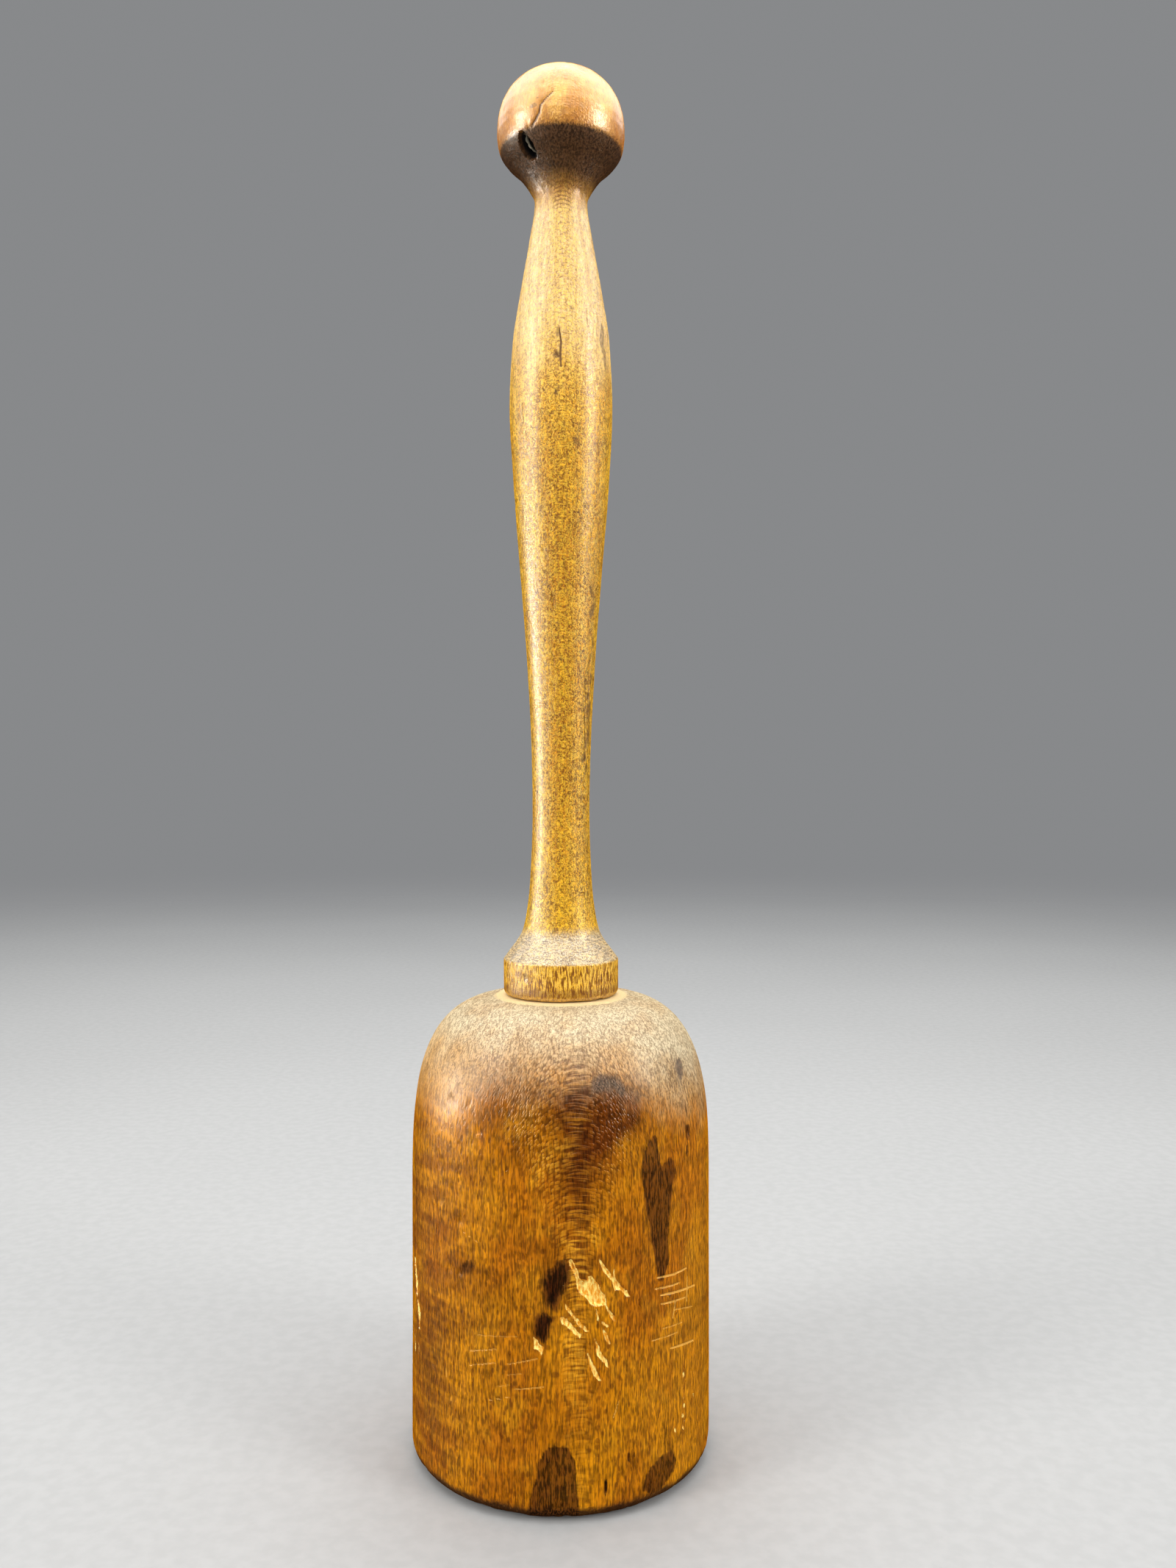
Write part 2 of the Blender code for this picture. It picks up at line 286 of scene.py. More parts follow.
# Old dark stains: strength, softness, outline of (angle, height).
BLOTS = {
    "upper": (1.4, 2.6, [
        (2.8, 67.7), (3.6, 65.7), (4.2, 63.9), (3.6, 61.6), (2.8, 60.1), (1.4, 58.7),
        (0.4, 57.2), (-0.2, 54.6), (-1.9, 54.9), (-3, 56.1), (-4.3, 57.1), (-5, 59.1),
        (-5, 61.6), (-3.6, 63.9), (-1.9, 65.4), (-0.2, 67), (1.1, 67.7)]),
    "lower": (1.4, 1.9, [
        (-6.7, 53.5), (-3.6, 53.6), (-0.6, 53.1), (-1.3, 52.1), (-3.1, 51.1), (-3.5, 48.8),
        (-4.1, 46.5), (-6, 47), (-7.7, 48.2), (-7.9, 50.4), (-7.6, 52.5)]),
    "leaf": (0.86, 0.35, [
        (37.1, 97), (34.7, 96.3), (33, 94.9), (31.2, 91.1), (30.9, 86.4), (31.9, 80.9),
        (33.2, 76.4), (34.6, 71.9), (35.5, 67.4), (36.9, 62.3), (37.9, 58.4), (40.3, 58.4),
        (42.6, 60.7), (43, 65.5), (43.6, 72.5), (44.2, 79), (45.8, 83.1), (47.1, 86.1),
        (46.6, 88.8), (44.3, 90.4), (41.8, 89.8), (40.1, 88.4), (39, 89.5), (38.7, 92.3),
        (38.6, 95.9)]),
    "tongue": (0.88, 0.3, [
        (-4.7, 18.9), (-2.9, 20), (-0.9, 20.4), (4.1, 19.6), (5.9, 16), (6.4, 11.6), (7.5, 5),
        (7.7, 1), (-9.8, 1), (-9.8, 4.9), (-9.6, 6.4), (-8, 11.6), (-6.8, 16)]),
    "foot": (0.84, 0.45, [
        (38.9, 12.3), (41.8, 12.7), (44.8, 12.3), (47.7, 9.3), (46.4, 7.1), (44, 5.1),
        (39.1, 3.7), (34.3, 3.7), (30.7, 5.4), (32.6, 8.8), (35.5, 11.2)]),
    "foot tail": (0.5, 0.9, [
        (40.3, 21.6), (42.5, 21.5), (45.2, 16.9), (46.4, 11), (41.8, 12.3), (39.6, 17.4)]),
    "left spot": (0.66, 1.3, [
        (-39.4, 62.1), (-36.5, 64.1), (-32.5, 65.2), (-30, 64.6), (-30.3, 62.4), (-33.5, 61),
        (-36.9, 59.8), (-39, 60.4)]),
    "top spot": (0.9, 2.7, [
        (12.3, 111.5), (14, 113.2), (16.5, 114.1), (19.5, 114), (23, 113.1), (25.9, 111),
        (26.6, 108.4), (24, 107.9), (20.7, 109.5), (16.9, 109.3), (12.9, 109)]),
    "oval": (0.72, 0.9, [
        (56.1, 114.3), (59.9, 114.3), (60.3, 112.3), (58.6, 109.8), (55.9, 108.6), (54, 110),
        (53.6, 112.4)]),
    "upper slit": (0.95, 0.3, [
        (54.7, 97.6), (56.8, 97.4), (57.5, 95.5), (56.6, 93.3), (54.9, 92.8), (53.6, 94.6),
        (53.9, 96.3)]),
    "lower slit": (0.85, 0.3, [
        (53.7, 91.9), (55.3, 92), (55.6, 89.9), (54.4, 88.4), (53, 89.6)]),
    "back leaf": (0.85, 0.4, [
        (158, 104), (154, 98), (153.5, 88), (156, 78), (158.5, 66), (160.5, 66), (162.5, 80),
        (165, 90), (163.5, 98)]),
    "back right foot": (0.85, 0.4, [
        (112, 1), (113, 9), (117, 15), (123, 14), (127, 8), (128.5, 1)]),
    "back left foot": (0.8, 0.4, [(-98, 1), (-97, 8), (-92, 13.5), (-87, 10), (-85, 1)]),
    "back drip": (0.8, 0.5, [
        (-122, 84), (-119, 84.5), (-117.5, 76), (-118.5, 62), (-120.5, 56), (-122, 62),
        (-123, 74)]),
}
# Narrow torn strokes: depth, points (angle, height, half width).
GOUGES = [
    (0.8, [(-71.5, 57, 0.7), (-69.2, 52, 1.3), (-68.2, 48, 0.6)]),
    (0.8, [(-67.4, 46.4, 0.6), (-65, 43.6, 1.15), (-65.6, 39.6, 0.5)]),
    (0.5, [(-72.5, 37, 0.35), (-71, 33, 0.5), (-70.5, 30, 0.3)]),
    (0.4, [(-66.5, 36, 0.25), (-66, 33, 0.35), (-66.8, 31, 0.2)]),
    (0.6, [(152, 50, 0.3), (155, 46.5, 0.8), (159, 43, 0.9), (161, 41, 0.3)]),
    (0.5, [(163, 52.5, 0.3), (166.5, 48, 0.6), (168, 46, 0.3)]),
    (0.5, [(-138, 38, 0.3), (-134, 35.5, 0.8), (-130.5, 32, 0.3)]),
    (0.5, [(104, 27, 0.3), (108, 24.6, 0.75), (111, 21.6, 0.3)]),
]
# Knife cuts and scratches: strength, points (angle, height, half width).
CUTS = [
    (1.0, [(37.5, 59.6, 0.15), (45.6, 59, 0.22), (53.8, 58.9, 0.17)]),
    (0.8, [(36.6, 56.9, 0.13), (42.3, 56.4, 0.19), (49.2, 56, 0.14)]),
    (1.0, [(39.3, 54.7, 0.17), (49.2, 53.8, 0.26), (59.8, 52.8, 0.2)]),
    (0.9, [(39.3, 52.4, 0.14), (45.6, 51.8, 0.2), (53.1, 51.2, 0.15)]),
    (0.6, [(46.8, 49.4, 0.12), (57.9, 47.5, 0.14)]),
    (0.9, [(54.5, 56.6, 0.15), (54, 49.9, 0.22)]),
    (0.9, [(47, 51.4, 0.17), (45.6, 47.5, 0.2)]),
    (0.6, [(35.2, 43.6, 0.11), (48.2, 43, 0.12)]),
    (0.6, [(40.3, 45.7, 0.11), (51.1, 45, 0.12)]),
    (1.0, [(44.5, 39.6, 0.16), (51.1, 38.9, 0.24), (58.9, 38, 0.22)]),
    (0.45, [(-33.1, 41.5, 0.13), (-22, 43.6, 0.12)]),
    (0.5, [(-33.1, 37.7, 0.12), (-22.4, 40.1, 0.13)]),
    (0.6, [(-18.1, 40.1, 0.12), (-7, 42.4, 0.15)]),
    (0.4, [(-18.1, 37.4, 0.11), (-12.5, 38.2, 0.11)]),
    (0.8, [(-24.9, 30, 0.15), (-15.9, 32, 0.19)]),
    (0.7, [(-15.1, 34, 0.13), (-4.9, 35.2, 0.15)]),
    (0.4, [(-22, 33.9, 0.11), (-17, 34.9, 0.11)]),
    (0.35, [(-30, 46.2, 0.1), (-14, 47.6, 0.1)]),
    (0.7, [(21.6, 30, 0.12), (19.7, 26.2, 0.15)]),
    (0.7, [(-44.9, 34.6, 0.16), (-44.4, 32, 0.2)]),
    (0.35, [(-36, 72, 0.1), (-29, 70.2, 0.1)]),
    (0.5, [(120, 60, 0.12), (134, 57, 0.18)]),
    (0.6, [(122, 56, 0.12), (138, 53.4, 0.18)]),
    (0.5, [(128, 63, 0.12), (126, 54, 0.15)]),
    (0.5, [(-100, 70, 0.12), (-88, 67, 0.16)]),
    (0.4, [(-104, 66, 0.12), (-94, 64.6, 0.14)]),
    (0.5, [(-160, 82, 0.12), (-150, 77, 0.16)]),
    (0.5, [(176, 30, 0.12), (168, 27, 0.16)]),
]
# Small pits: angle, height, half width.
PITS = [
    (52.2, 32.4, .3), (52, 30.6, .42), (52.8, 28.5, .22), (51.8, 27, .25), (52.4, 24.3, .3),
    (52.2, 22.2, .38), (51.5, 19.9, .42), (52.7, 17.8, .25), (46.8, 17.4, .42),
    (51.8, 16.6, .42), (59.3, 23.1, .28), (57.9, 22.1, .26), (61, 29.2, .26),
]
# Small dark marks: angle, height, half width, half height, lean, strength.
STAINS = [
    (-44.6, 101.8, 1.1, 0.9, 0, 0.6), (-17.7, 96.4, 0.8, 0.7, 0, 0.6),
    (16.9, 8.6, 0.42, 2.1, 0.05, 1.3), (25.6, 15.1, 0.35, 1.2, 0, 1.1),
    (27.6, 15.6, 0.3, 0.8, 0, 0.9), (56, 101, 0.4, 2.4, 0, 0.75), (55, 86, 0.4, 2.2, 0, 0.6),
    (50, 117, 0.5, 1, 0, 0.5), (-160, 58, 1.6, 2.2, 0, 0.9), (82, 40, 0.8, 5, 0, 0.7),
    (100, 104, 2.6, 3, 0, 0.7), (-100, 96, 1, 0.9, 0, 0.7), (140, 24, 0.5, 1.8, 0.1, 1),
    (-20.5, 13, 0.5, 0.5, 0, 0.5),
]
# Sunken slots: angle, height, half width, half height.
SLOTS = [(16.9, 8.6, 0.42, 2.1), (25.6, 15.1, 0.35, 1.2), (55.5, 95.4, 0.7, 2.2)]
# Soft brown smoke in the old finish: angle, height, half width, half height, amount.
SMOKE = [
    (8, 92, 6.5, 7, 1), (16, 100, 9, 6.5, 0.75), (-8, 104, 9, 3.6, 0.4),
    (12, 106.6, 8, 4.5, 1), (22, 104.6, 8, 5, 1), (15, 103, 8, 4, 0.6), (10, 101, 5, 4, 0.5),
    (-14, 110.5, 7, 3, 0.45), (-30, 110, 7, 5, 0.55), (-46, 112, 9, 6, 0.5),
    (48, 112, 8, 5, 0.3), (20, 107.5, 7, 3.2, 0.65), (-17, 104.8, 9, 3.2, 0.42),
    (-2, 108.5, 8, 2, 0.3), (-14.7, 97, 5, 6, 0.42), (8, 78.6, 6, 2.8, 0.62),
    (6, 85, 4, 4, 0.4), (-55, 33, 7, 8, 0.5), (-50, 45, 8, 4, 0.4), (-22, 59, 9, 4, 0.42),
    (-12, 70, 10, 4, 0.22), (11, 66.4, 4, 2.6, 0.6), (20, 57, 3, 3, 0.3),
    (11.5, 45.6, 2.2, 2.6, 0.45), (-30, 50, 9, 2.6, 0.4), (52, 43, 7, 2.6, 0.3),
    (30, 66, 4, 6, 0.25), (-68, 80, 4, 26, 0.35), (72, 60, 4, 30, 0.35),
    (-2, 61, 3.8, 8, 0.85), (-5.5, 50, 2.6, 4.6, 0.8), (-34.5, 62.8, 5, 3.4, 0.3),
    (38, 78, 6.6, 17, 0.22), (0, 23, 5, 3, 0.3), (170, 100, 16, 8, 0.6),
    (-140, 90, 12, 10, 0.5), (130, 60, 12, 9, 0.35), (-110, 50, 9, 12, 0.3),
    (100, 80, 8, 14, 0.3), (159, 85, 7, 18, 0.3), (-120, 70, 5, 15, 0.3),
]


# ------------------------------------------------- distances on the surface
def wrap(angle):
    return (angle + math.pi) % TAU - math.pi


def along(angle, height, points, radius):
    """Distance to a polyline in mm, the side it lies on, and the half width there."""
    nearest = np.full(angle.shape, 1e3)
    side = np.ones(angle.shape)
    width = np.full(angle.shape, 0.1)
    for (a0, z0, w0), (a1, z1, w1) in zip(points, points[1:]):
        middle = math.radians(0.5 * (a0 + a1))
        arc = wrap(angle - middle) * radius
        x0, x1 = [math.radians(a) * radius - middle * radius for a in (a0, a1)]
        dx, dz = x1 - x0, z1 - z0
        t = np.clip(((arc - x0) * dx + (height - z0) * dz) / (dx * dx + dz * dz), 0.0, 1.0)
        off_x, off_z = arc - (x0 + dx * t), height - (z0 + dz * t)
        distance = np.hypot(off_x, off_z)
        closer = distance < nearest
        nearest = np.where(closer, distance, nearest)
        side = np.where(closer, np.sign(off_x * dz - off_z * dx + 1e-12), side)
        width = np.where(closer, w0 + (w1 - w0) * t, width)
    return nearest, side, width


def outline(angle, height, points, radius):
    """Distance in mm to a closed outline, positive inside."""
    middle = math.radians(sum(p[0] for p in points) / len(points))
    arc = wrap(angle - middle) * radius
    xs = [wrap(math.radians(p[0]) - middle) * radius for p in points]
    zs = [p[1] for p in points]
    nearest = np.full(angle.shape, 1e3)
    inside = np.zeros(angle.shape, bool)
    for i in range(len(points)):
        x0, z0 = xs[i - 1], zs[i - 1]
        dx, dz = xs[i] - x0, zs[i] - z0
        t = ((arc - x0) * dx + (height - z0) * dz) / (dx * dx + dz * dz + 1e-12)
        t = np.clip(t, 0.0, 1.0)
        nearest = np.minimum(nearest, np.hypot(arc - x0 - dx * t, height - z0 - dz * t))
        spans = (z0 > height) != (zs[i] > height)
        crossing = x0 + (height - z0) * dx / (dz if abs(dz) > 1e-9 else 1e-9)
        inside ^= spans & (arc < crossing)
    return np.where(inside, nearest, -nearest)


def blob(angle, height, at, half_width, half_height, lean=0.0, radius=HEAD_R):
    """Distance from an oval's middle at = (angle, height); 1 on its edge."""
    x = wrap(angle - math.radians(at[0])) * radius
    y = height - at[1]
    return np.hypot((x - lean * y) / half_width, y / half_height)


def cut_masks(angle, height, cuts, reach, depth_scale):
    """Depth and masks of cuts (radius, strength, points); reach limits the distance mask."""
    distance_mask = np.full(angle.shape, 3.0)
    width_mask = np.full(angle.shape, -1.0)
    strength_mask = np.zeros(angle.shape)
    depth = np.zeros(angle.shape)
    nearest = np.full(angle.shape, reach)
    for radius, strength, points in cuts:
        distance, _, width = along(angle, height, points, radius)
        hit = distance < nearest
        nearest = np.where(hit, distance, nearest)
        distance_mask = np.where(hit, distance, distance_mask)
        width_mask = np.where(hit, width, width_mask)
        strength_mask = np.where(hit, strength, strength_mask)
        groove = depth_scale * strength * np.clip(1.0 - distance / 0.45, 0, 1)
        depth = np.maximum(depth, groove)
    return depth, {"m_cut": distance_mask, "m_cutw": width_mask, "m_cuts": strength_mask}


# ------------------------------------------------------------------ the head
def head_rows():
    """Profile from the socket floor, over the shoulder and under the striking face."""
    shoulder_r, shoulder_z = quarter(10.7, HEAD_R, HEAD_H - SHOULDER_H, SHOULDER_H, 3.15, 900)
    keep = shoulder_r > SEAT_R + 0.2
    a = np.linspace(0.06, 0.5 * math.pi, 60)
    radii = np.concatenate([[SEAT_R], shoulder_r[keep], [HEAD_R],
                            HEAD_R - FOOT_EASE * (1 - np.cos(a))])
    heights = np.concatenate([[HEAD_H], shoulder_z[keep], [5.2], FOOT_EASE * (1 - np.sin(a))])

    def step(z):
        """Finest over the gouged belt."""
        for above, spacing in ((80, 0.85), (71, 0.7), (34, 0.36), (5.5, 0.75)):
            if z > above:
                return spacing
        return 0.8

    radii, heights = resample(radii, heights, step)
    socket = [(4, SOCKET_FLOOR), (8, SOCKET_FLOOR), (SOCKET_R - 0.3, SOCKET_FLOOR)]
    socket += [(SOCKET_R, SOCKET_FLOOR + rise) for rise in (0.3, 12, 24, 36, 48)]
    socket += [(SOCKET_R, HEAD_H - 3.0), (SOCKET_R, HEAD_H - 0.5), (SOCKET_R + 0.5, HEAD_H),
               (13, HEAD_H), (14.5, HEAD_H), (15.4, HEAD_H)]
    face = [36.4, 34.5, 32, 29, 25, 20.5, 15.5, 10, 4.5]
    socket_r, socket_z = np.array(socket).T
    first_under = len(socket) + len(radii)
    return (np.concatenate([socket_r, radii, face]),
            np.concatenate([socket_z, heights, np.zeros(len(face))]), len(socket), first_under)


def head_fields(angle, height, outer):
    """Depth of every mark in mm, and the colour masks."""
    raw = np.full(angle.shape, -3.0)
    depth = np.zeros(angle.shape)
    arc = angle * HEAD_R
    ragged = fbm(arc / 0.8, height / 2.2, 0.0, 5)
    fibre = fbm(arc / 0.7, height / 4.0, 0.0, 6)
    for deepest, points in CHIPS:
        inside = outline(angle, height, points, HEAD_R) + 0.16 * ragged
        raw = np.maximum(raw, inside)
        body = smoothstep(inside, -0.12, 0.75)
        depth = np.maximum(depth, deepest * body * (0.75 + 0.35 * fibre))
    for deepest, points in GOUGES:
        distance, side, width = along(angle, height, points, HEAD_R)
        inside = width * (1 + 0.5 * ragged) - distance
        raw = np.maximum(raw, inside)
        # one wall of the stroke is steep and the other runs out gently
        wall = np.clip(inside / (width + 0.05), 0, 1)
        wall = np.where(side > 0, wall ** 0.55, wall ** 1.1)
        depth = np.maximum(depth, deepest * wall * (0.8 + 0.3 * fibre))
    # torn wood is pushed up a little along the rim of each gouge
    depth = depth - 0.10 * np.exp(-((raw + 0.35) / 0.3) ** 2)
    cuts = [(HEAD_R, strength, points) for strength, points in CUTS]
    cut_depth, masks = cut_masks(angle, height, cuts, reach=0.9, depth_scale=0.18)
    depth = np.maximum(depth, cut_depth)
    for *at, width in PITS:
        pit = blob(angle, height, at, width, width * 1.5)
        raw = np.maximum(raw, (1.15 - pit) * width)
        depth = np.maximum(depth, 0.3 * np.clip(1.3 - pit, 0, 1))
    stain = np.zeros(angle.shape)
    wander = 0.55 * fbm(arc / 1.5, height / 4.5, 3.3, 9)
    for strength, softness, points in BLOTS.values():
        inside = (outline(angle, height, points, HEAD_R) + wander) / softness
        stain = np.maximum(stain, strength * smoothstep(inside, -0.75, 0.75))
    for *at, width, tall, lean, strength in STAINS:
        mark = blob(angle, height, at, width, tall, lean)
        stain = np.maximum(stain, strength * smoothstep(mark, 1.35, 0.65))
    # the dark stains sit in slightly sunk wood
    depth = depth + 0.05 * smoothstep(stain, 0.4, 0.8)
    for *at, width, tall in SLOTS:
        depth = depth + 0.45 * smoothstep(blob(angle, height, at, width, tall), 1.25, 0.4)
    smoke = np.zeros(angle.shape)
    for *at, width, tall, amount in SMOKE:
        smoke = smoke + amount * np.exp(-0.8 * blob(angle, height, at, width, tall) ** 2)
    raw = np.where(outer, raw, -3.0)
    return depth, {"m_raw": raw, **masks, "m_stain": stain, "m_smoke": np.clip(smoke, 0, 1.2)}


def make_head():
    radii, heights, first_out, first_under = head_rows()
    angles = columns([(-180, -82, 2.0), (-82, -12, 0.8), (-12, 32, 0.48), (32, 66, 0.62),
                      (66, 84, 1.0), (84, 180, 2.0)])
    rows = len(radii)

    def surface(angle, radius, height):
        outer = np.repeat((np.arange(rows) >= first_out)[:, None], len(angles), 1)
        depth, masks = head_fields(angle, height, outer)
        x, y, z = radius * np.sin(angle), -radius * np.cos(angle), height
        # slow swell and faint ripples
        move = 0.14 * fbm(x / 26, y / 26, z / 38, 3) + 0.035 * fbm(x / 5, y / 5, z / 9, 8)
        # raised grain where the finish has worn off the shoulder
        move = move + 0.05 * smoothstep(z, 104, 118) * fbm(x / 1.3, y / 1.3, z / 2.6, 21)
        # small dents
        dents = noise3(x / 2.6, y / 2.6, z / 3.4, 31)
        move = move - 0.22 * smoothstep(dents, 0.62, 0.95)
        # bruised lower edge
        bruise = 0.28 * np.clip(fbm(x / 3.2, y / 3.2, z / 2.5, 41) + 0.1, 0, 1)
        move = move - smoothstep(z, 7.0, 2.0) * bruise - depth
        # pitted striking face
        pitted = -0.10 * np.clip(fbm(x / 4, y / 4, z, 51, octaves=3), 0, 1)
        move = np.where(z < 0.02, pitted, move)
        flat_seat = (z > HEAD_H - 0.02) & (radius < 17.5)
        move = np.where(outer & ~flat_seat, move, 0.0)
        return np.minimum(move, 0.12), masks

    path = travel(radii, heights)
    side_first = int(np.argmax((np.arange(rows) >= first_out) & (radii > 31.0)))
    side_start, side_end = path[side_first], path[first_under]

    def disc(row, turn, middle_u, widest):
        radius = radii[row] if 0 <= row < rows else 0.0
        a = TAU * turn
        size = 0.175 * radius / widest
        return np.stack([middle_u + size * np.sin(a), 0.81 + size * np.cos(a)], -1)

    def uv_of(face_row, row, turn):
        if face_row < first_out - 4:            # socket
            v = 0.64 + 0.34 * path[row] / path[first_out] if row >= 0 else 0.635
            return strip(0.79, 0.2, turn, v)
        if face_row < side_first:               # top
            return disc(row, turn, middle_u=0.19, widest=31.6)
        if face_row < first_under:              # side
            v = 0.605 - 0.6 * (path[row] - side_start) / (side_end - side_start)
            return strip(0.004, 0.992, turn, v)
        return disc(row, turn, middle_u=0.58, widest=37.8)

    head = lathe("head_block", radii, heights, angles, surface, uv_of, SOCKET_FLOOR, 0.0)
    soften(head)
    return head


# ---------------------------------------------------------------- the handle
WORM_HOLE = (-39.5, 367.0)         # angle and height, just under the knob
# Cracks: radius of the surface, strength, points (angle, height, half width).
CRACKS = [
    (KNOB_R, 1.0, [(-6, 378.4, 0.16), (-12.5, 376.6, 0.2), (-17, 375, 0.26),
                   (-18.2, 373, 0.26), (-22.5, 371.3, 0.28), (-26.5, 370.2, 0.25)]),
] + [(GRIP_R, strength, points) for strength, points in [
    (1.0, [(-0.8, 315.4, 0.14), (1.2, 311.5, 0.24), (0.3, 307.9, 0.28), (1.2, 304.4, 0.16)]),
    (0.8, [(-4.6, 308.4, 0.2), (-2.5, 307.4, 0.26), (0.4, 307, 0.2)]),
    (0.5, [(-43, 287.5, 0.1), (-12.2, 289.4, 0.12)]),
    (0.6, [(-6, 298.4, 0.15), (-2.4, 296.6, 0.18)]),
    (0.5, [(33, 322, 0.12), (33.4, 317, 0.14)]),
    (0.8, [(46, 219, 0.1), (52, 213, 0.16), (50, 207, 0.14), (55, 200, 0.16), (53, 194, 0.1)]),
    (0.7, [(60, 226, 0.1), (57, 218, 0.16), (61, 209, 0.14)]),
    (0.6, [(42, 216, 0.1), (47, 211, 0.12)]),
    (0.6, [(-22, 246, 0.1), (-12, 242.5, 0.14), (-9, 238, 0.1)]),
    (0.5, [(-14, 226, 0.1), (-10, 222, 0.12)]),
    (0.5, [(-48, 296, 0.1), (-46, 291, 0.12)]),
    (0.6, [(150, 300, 0.12), (152, 286, 0.2), (151, 276, 0.12)]),
    (0.5, [(-118, 230, 0.1), (-117, 216, 0.14)]),
]]
# Small dark marks: angle, height, half width, half height, lean, strength.
HANDLE_STAINS = [
    (-4, 307.9, 1, 1.2, 0, 0.7), (-2.6, 314, 0.5, 1.2, 0, 0.8),
    (14.5, 321.3, 0.9, 0.8, 0, 0.6), (19, 284.1, 0.8, 0.9, 0, 0.9),
    (57.4, 315, 0.9, 3.4, 0.12, 1), (61, 309, 0.7, 3, 0, 0.8), (56, 238.2, 0.7, 1.8, 0.3, 1.1),
    (50, 243.5, 0.4, 1.5, -0.3, 0.8), (64, 229, 0.6, 1.5, -0.3, 0.9),
    (58, 224.5, 0.4, 1.7, 0.35, 0.8), (64, 219, 0.7, 1.2, 0, 1), (58, 214, 0.8, 0.9, 0.4, 0.9),
    (62, 209.5, 1.1, 2.8, 0.1, 1), (52, 206.5, 0.4, 1.2, -0.4, 0.8),
    (58, 201, 0.5, 1.8, 0.4, 0.9), (64, 202.9, 0.7, 2.4, 0, 1),
    (50, 196.4, 1.1, 0.9, 0.3, 1.15), (58, 193, 0.4, 1.5, 0.3, 0.9),
    (44, 222, 0.3, 1.6, 0.2, 0.5), (46, 190, 0.5, 0.9, 0, 0.6), (-36, 243, 0.5, 0.8, 0.3, 0.6),
    (10, 246, 0.6, 0.7, 0, 0.6), (2, 224, 0.9, 0.7, 0, 0.6), (8, 205, 0.6, 0.9, 0, 0.55),
    (-4.2, 297.4, 0.6, 1.4, 0.3, 0.6), (-38, 300, 0.5, 1.4, 0, 0.5), (-30, 322, 1.6, 2, 0, 0.3),
    (-36.6, 135.2, 0.9, 1.1, 0, 0.8), (-23.5, 375.3, 0.9, 0.5, 0.4, 1),
    (-19.5, 377.2, 0.5, 0.4, 0.3, 0.6), (140, 330, 1, 4, 0, 0.7), (-150, 250, 0.9, 6, 0, 0.7),
    (170, 180, 0.8, 3, 0, 0.7), (105, 268, 0.7, 2.4, 0, 0.7), (-100, 376, 2, 1.6, 0, 0.5),
    (150, 381, 2.4, 1.4, 0.2, 0.5),
]
# Profile from the collar up to the knob: height, radius.
STEM = [
    (COLLAR_UP, 16.45), (COLLAR_UP + 2.6, 14.6), (COLLAR_UP + 5.1, 12.7),
    (COLLAR_UP + 8.0, 11.1), (COLLAR_UP + 12.5, 10.0), (COLLAR_UP + 21.5, 8.95),
    (180, 8.2), (200, 8.55), (225, 9.9), (250, 11.8), (275, 13.75), (297, 14.75),
    (315, 13.95), (330, 11.75), (345, 9.1), (356, 7.55), (361, 9.8), (365, 12.8),
    (368.3, 16.2), (371.3, 17.85), (KNOB_WIDEST, KNOB_R),
]


def handle_rows():
    """Profile from the top of the knob down to the end of the tenon."""
    knob_r, knob_z = quarter(0.0, KNOB_R, KNOB_WIDEST, TOP - KNOB_WIDEST, 2.35, 500)
    keep = knob_r > 0.9
    stem_r, stem_z = monotone(STEM, 80)
    radii = np.concatenate([knob_r[keep], stem_r[::-1][1:]])
    heights = np.concatenate([knob_z[keep], stem_z[::-1][1:]])

    def step(z):
        """Finest under the knob, fine at the grip's cracks and at the neck."""
        if z > 383:
            return 0.8
        if z > 357:
            return 0.42
        if 302 < z < 318 or z < COLLAR_UP + 16:
            return 0.55
        return 0.85

    radii, heights = resample(radii, heights, step)
    # collar: crisp upper corner, eased lower corner
    collar = [(COLLAR_R, COLLAR_UP - 0.35 - 0.62 * k) for k in range(14)]
    collar += [(16.42, COLLAR_LOW + 1.15), (16.2, COLLAR_LOW + 0.62), (15.85, COLLAR_LOW + 0.2),
               (15.5, COLLAR_LOW)]
    tenon = [(14.2, COLLAR_LOW), (12.4, COLLAR_LOW), (TENON_R + 0.1, COLLAR_LOW),
             (TENON_R, COLLAR_LOW - 0.4)]
    tenon += [(TENON_R, z) for z in (118, 105, 92, 79, TENON_END + 1.2)]
    tenon += [(9.8, TENON_END), (5.0, TENON_END)]
    low_r, low_z = np.array(collar + tenon).T
    outer_rows = len(radii) + len(collar)
    return np.concatenate([radii, low_r]), np.concatenate([heights, low_z]), outer_rows


def handle_radius(z):
    """Radius used to unroll a small mark at this height."""
    if z > 360:
        return 18.0
    if z < 140:
        return 16.4
    return 14.2 if z > 260 else 10.0


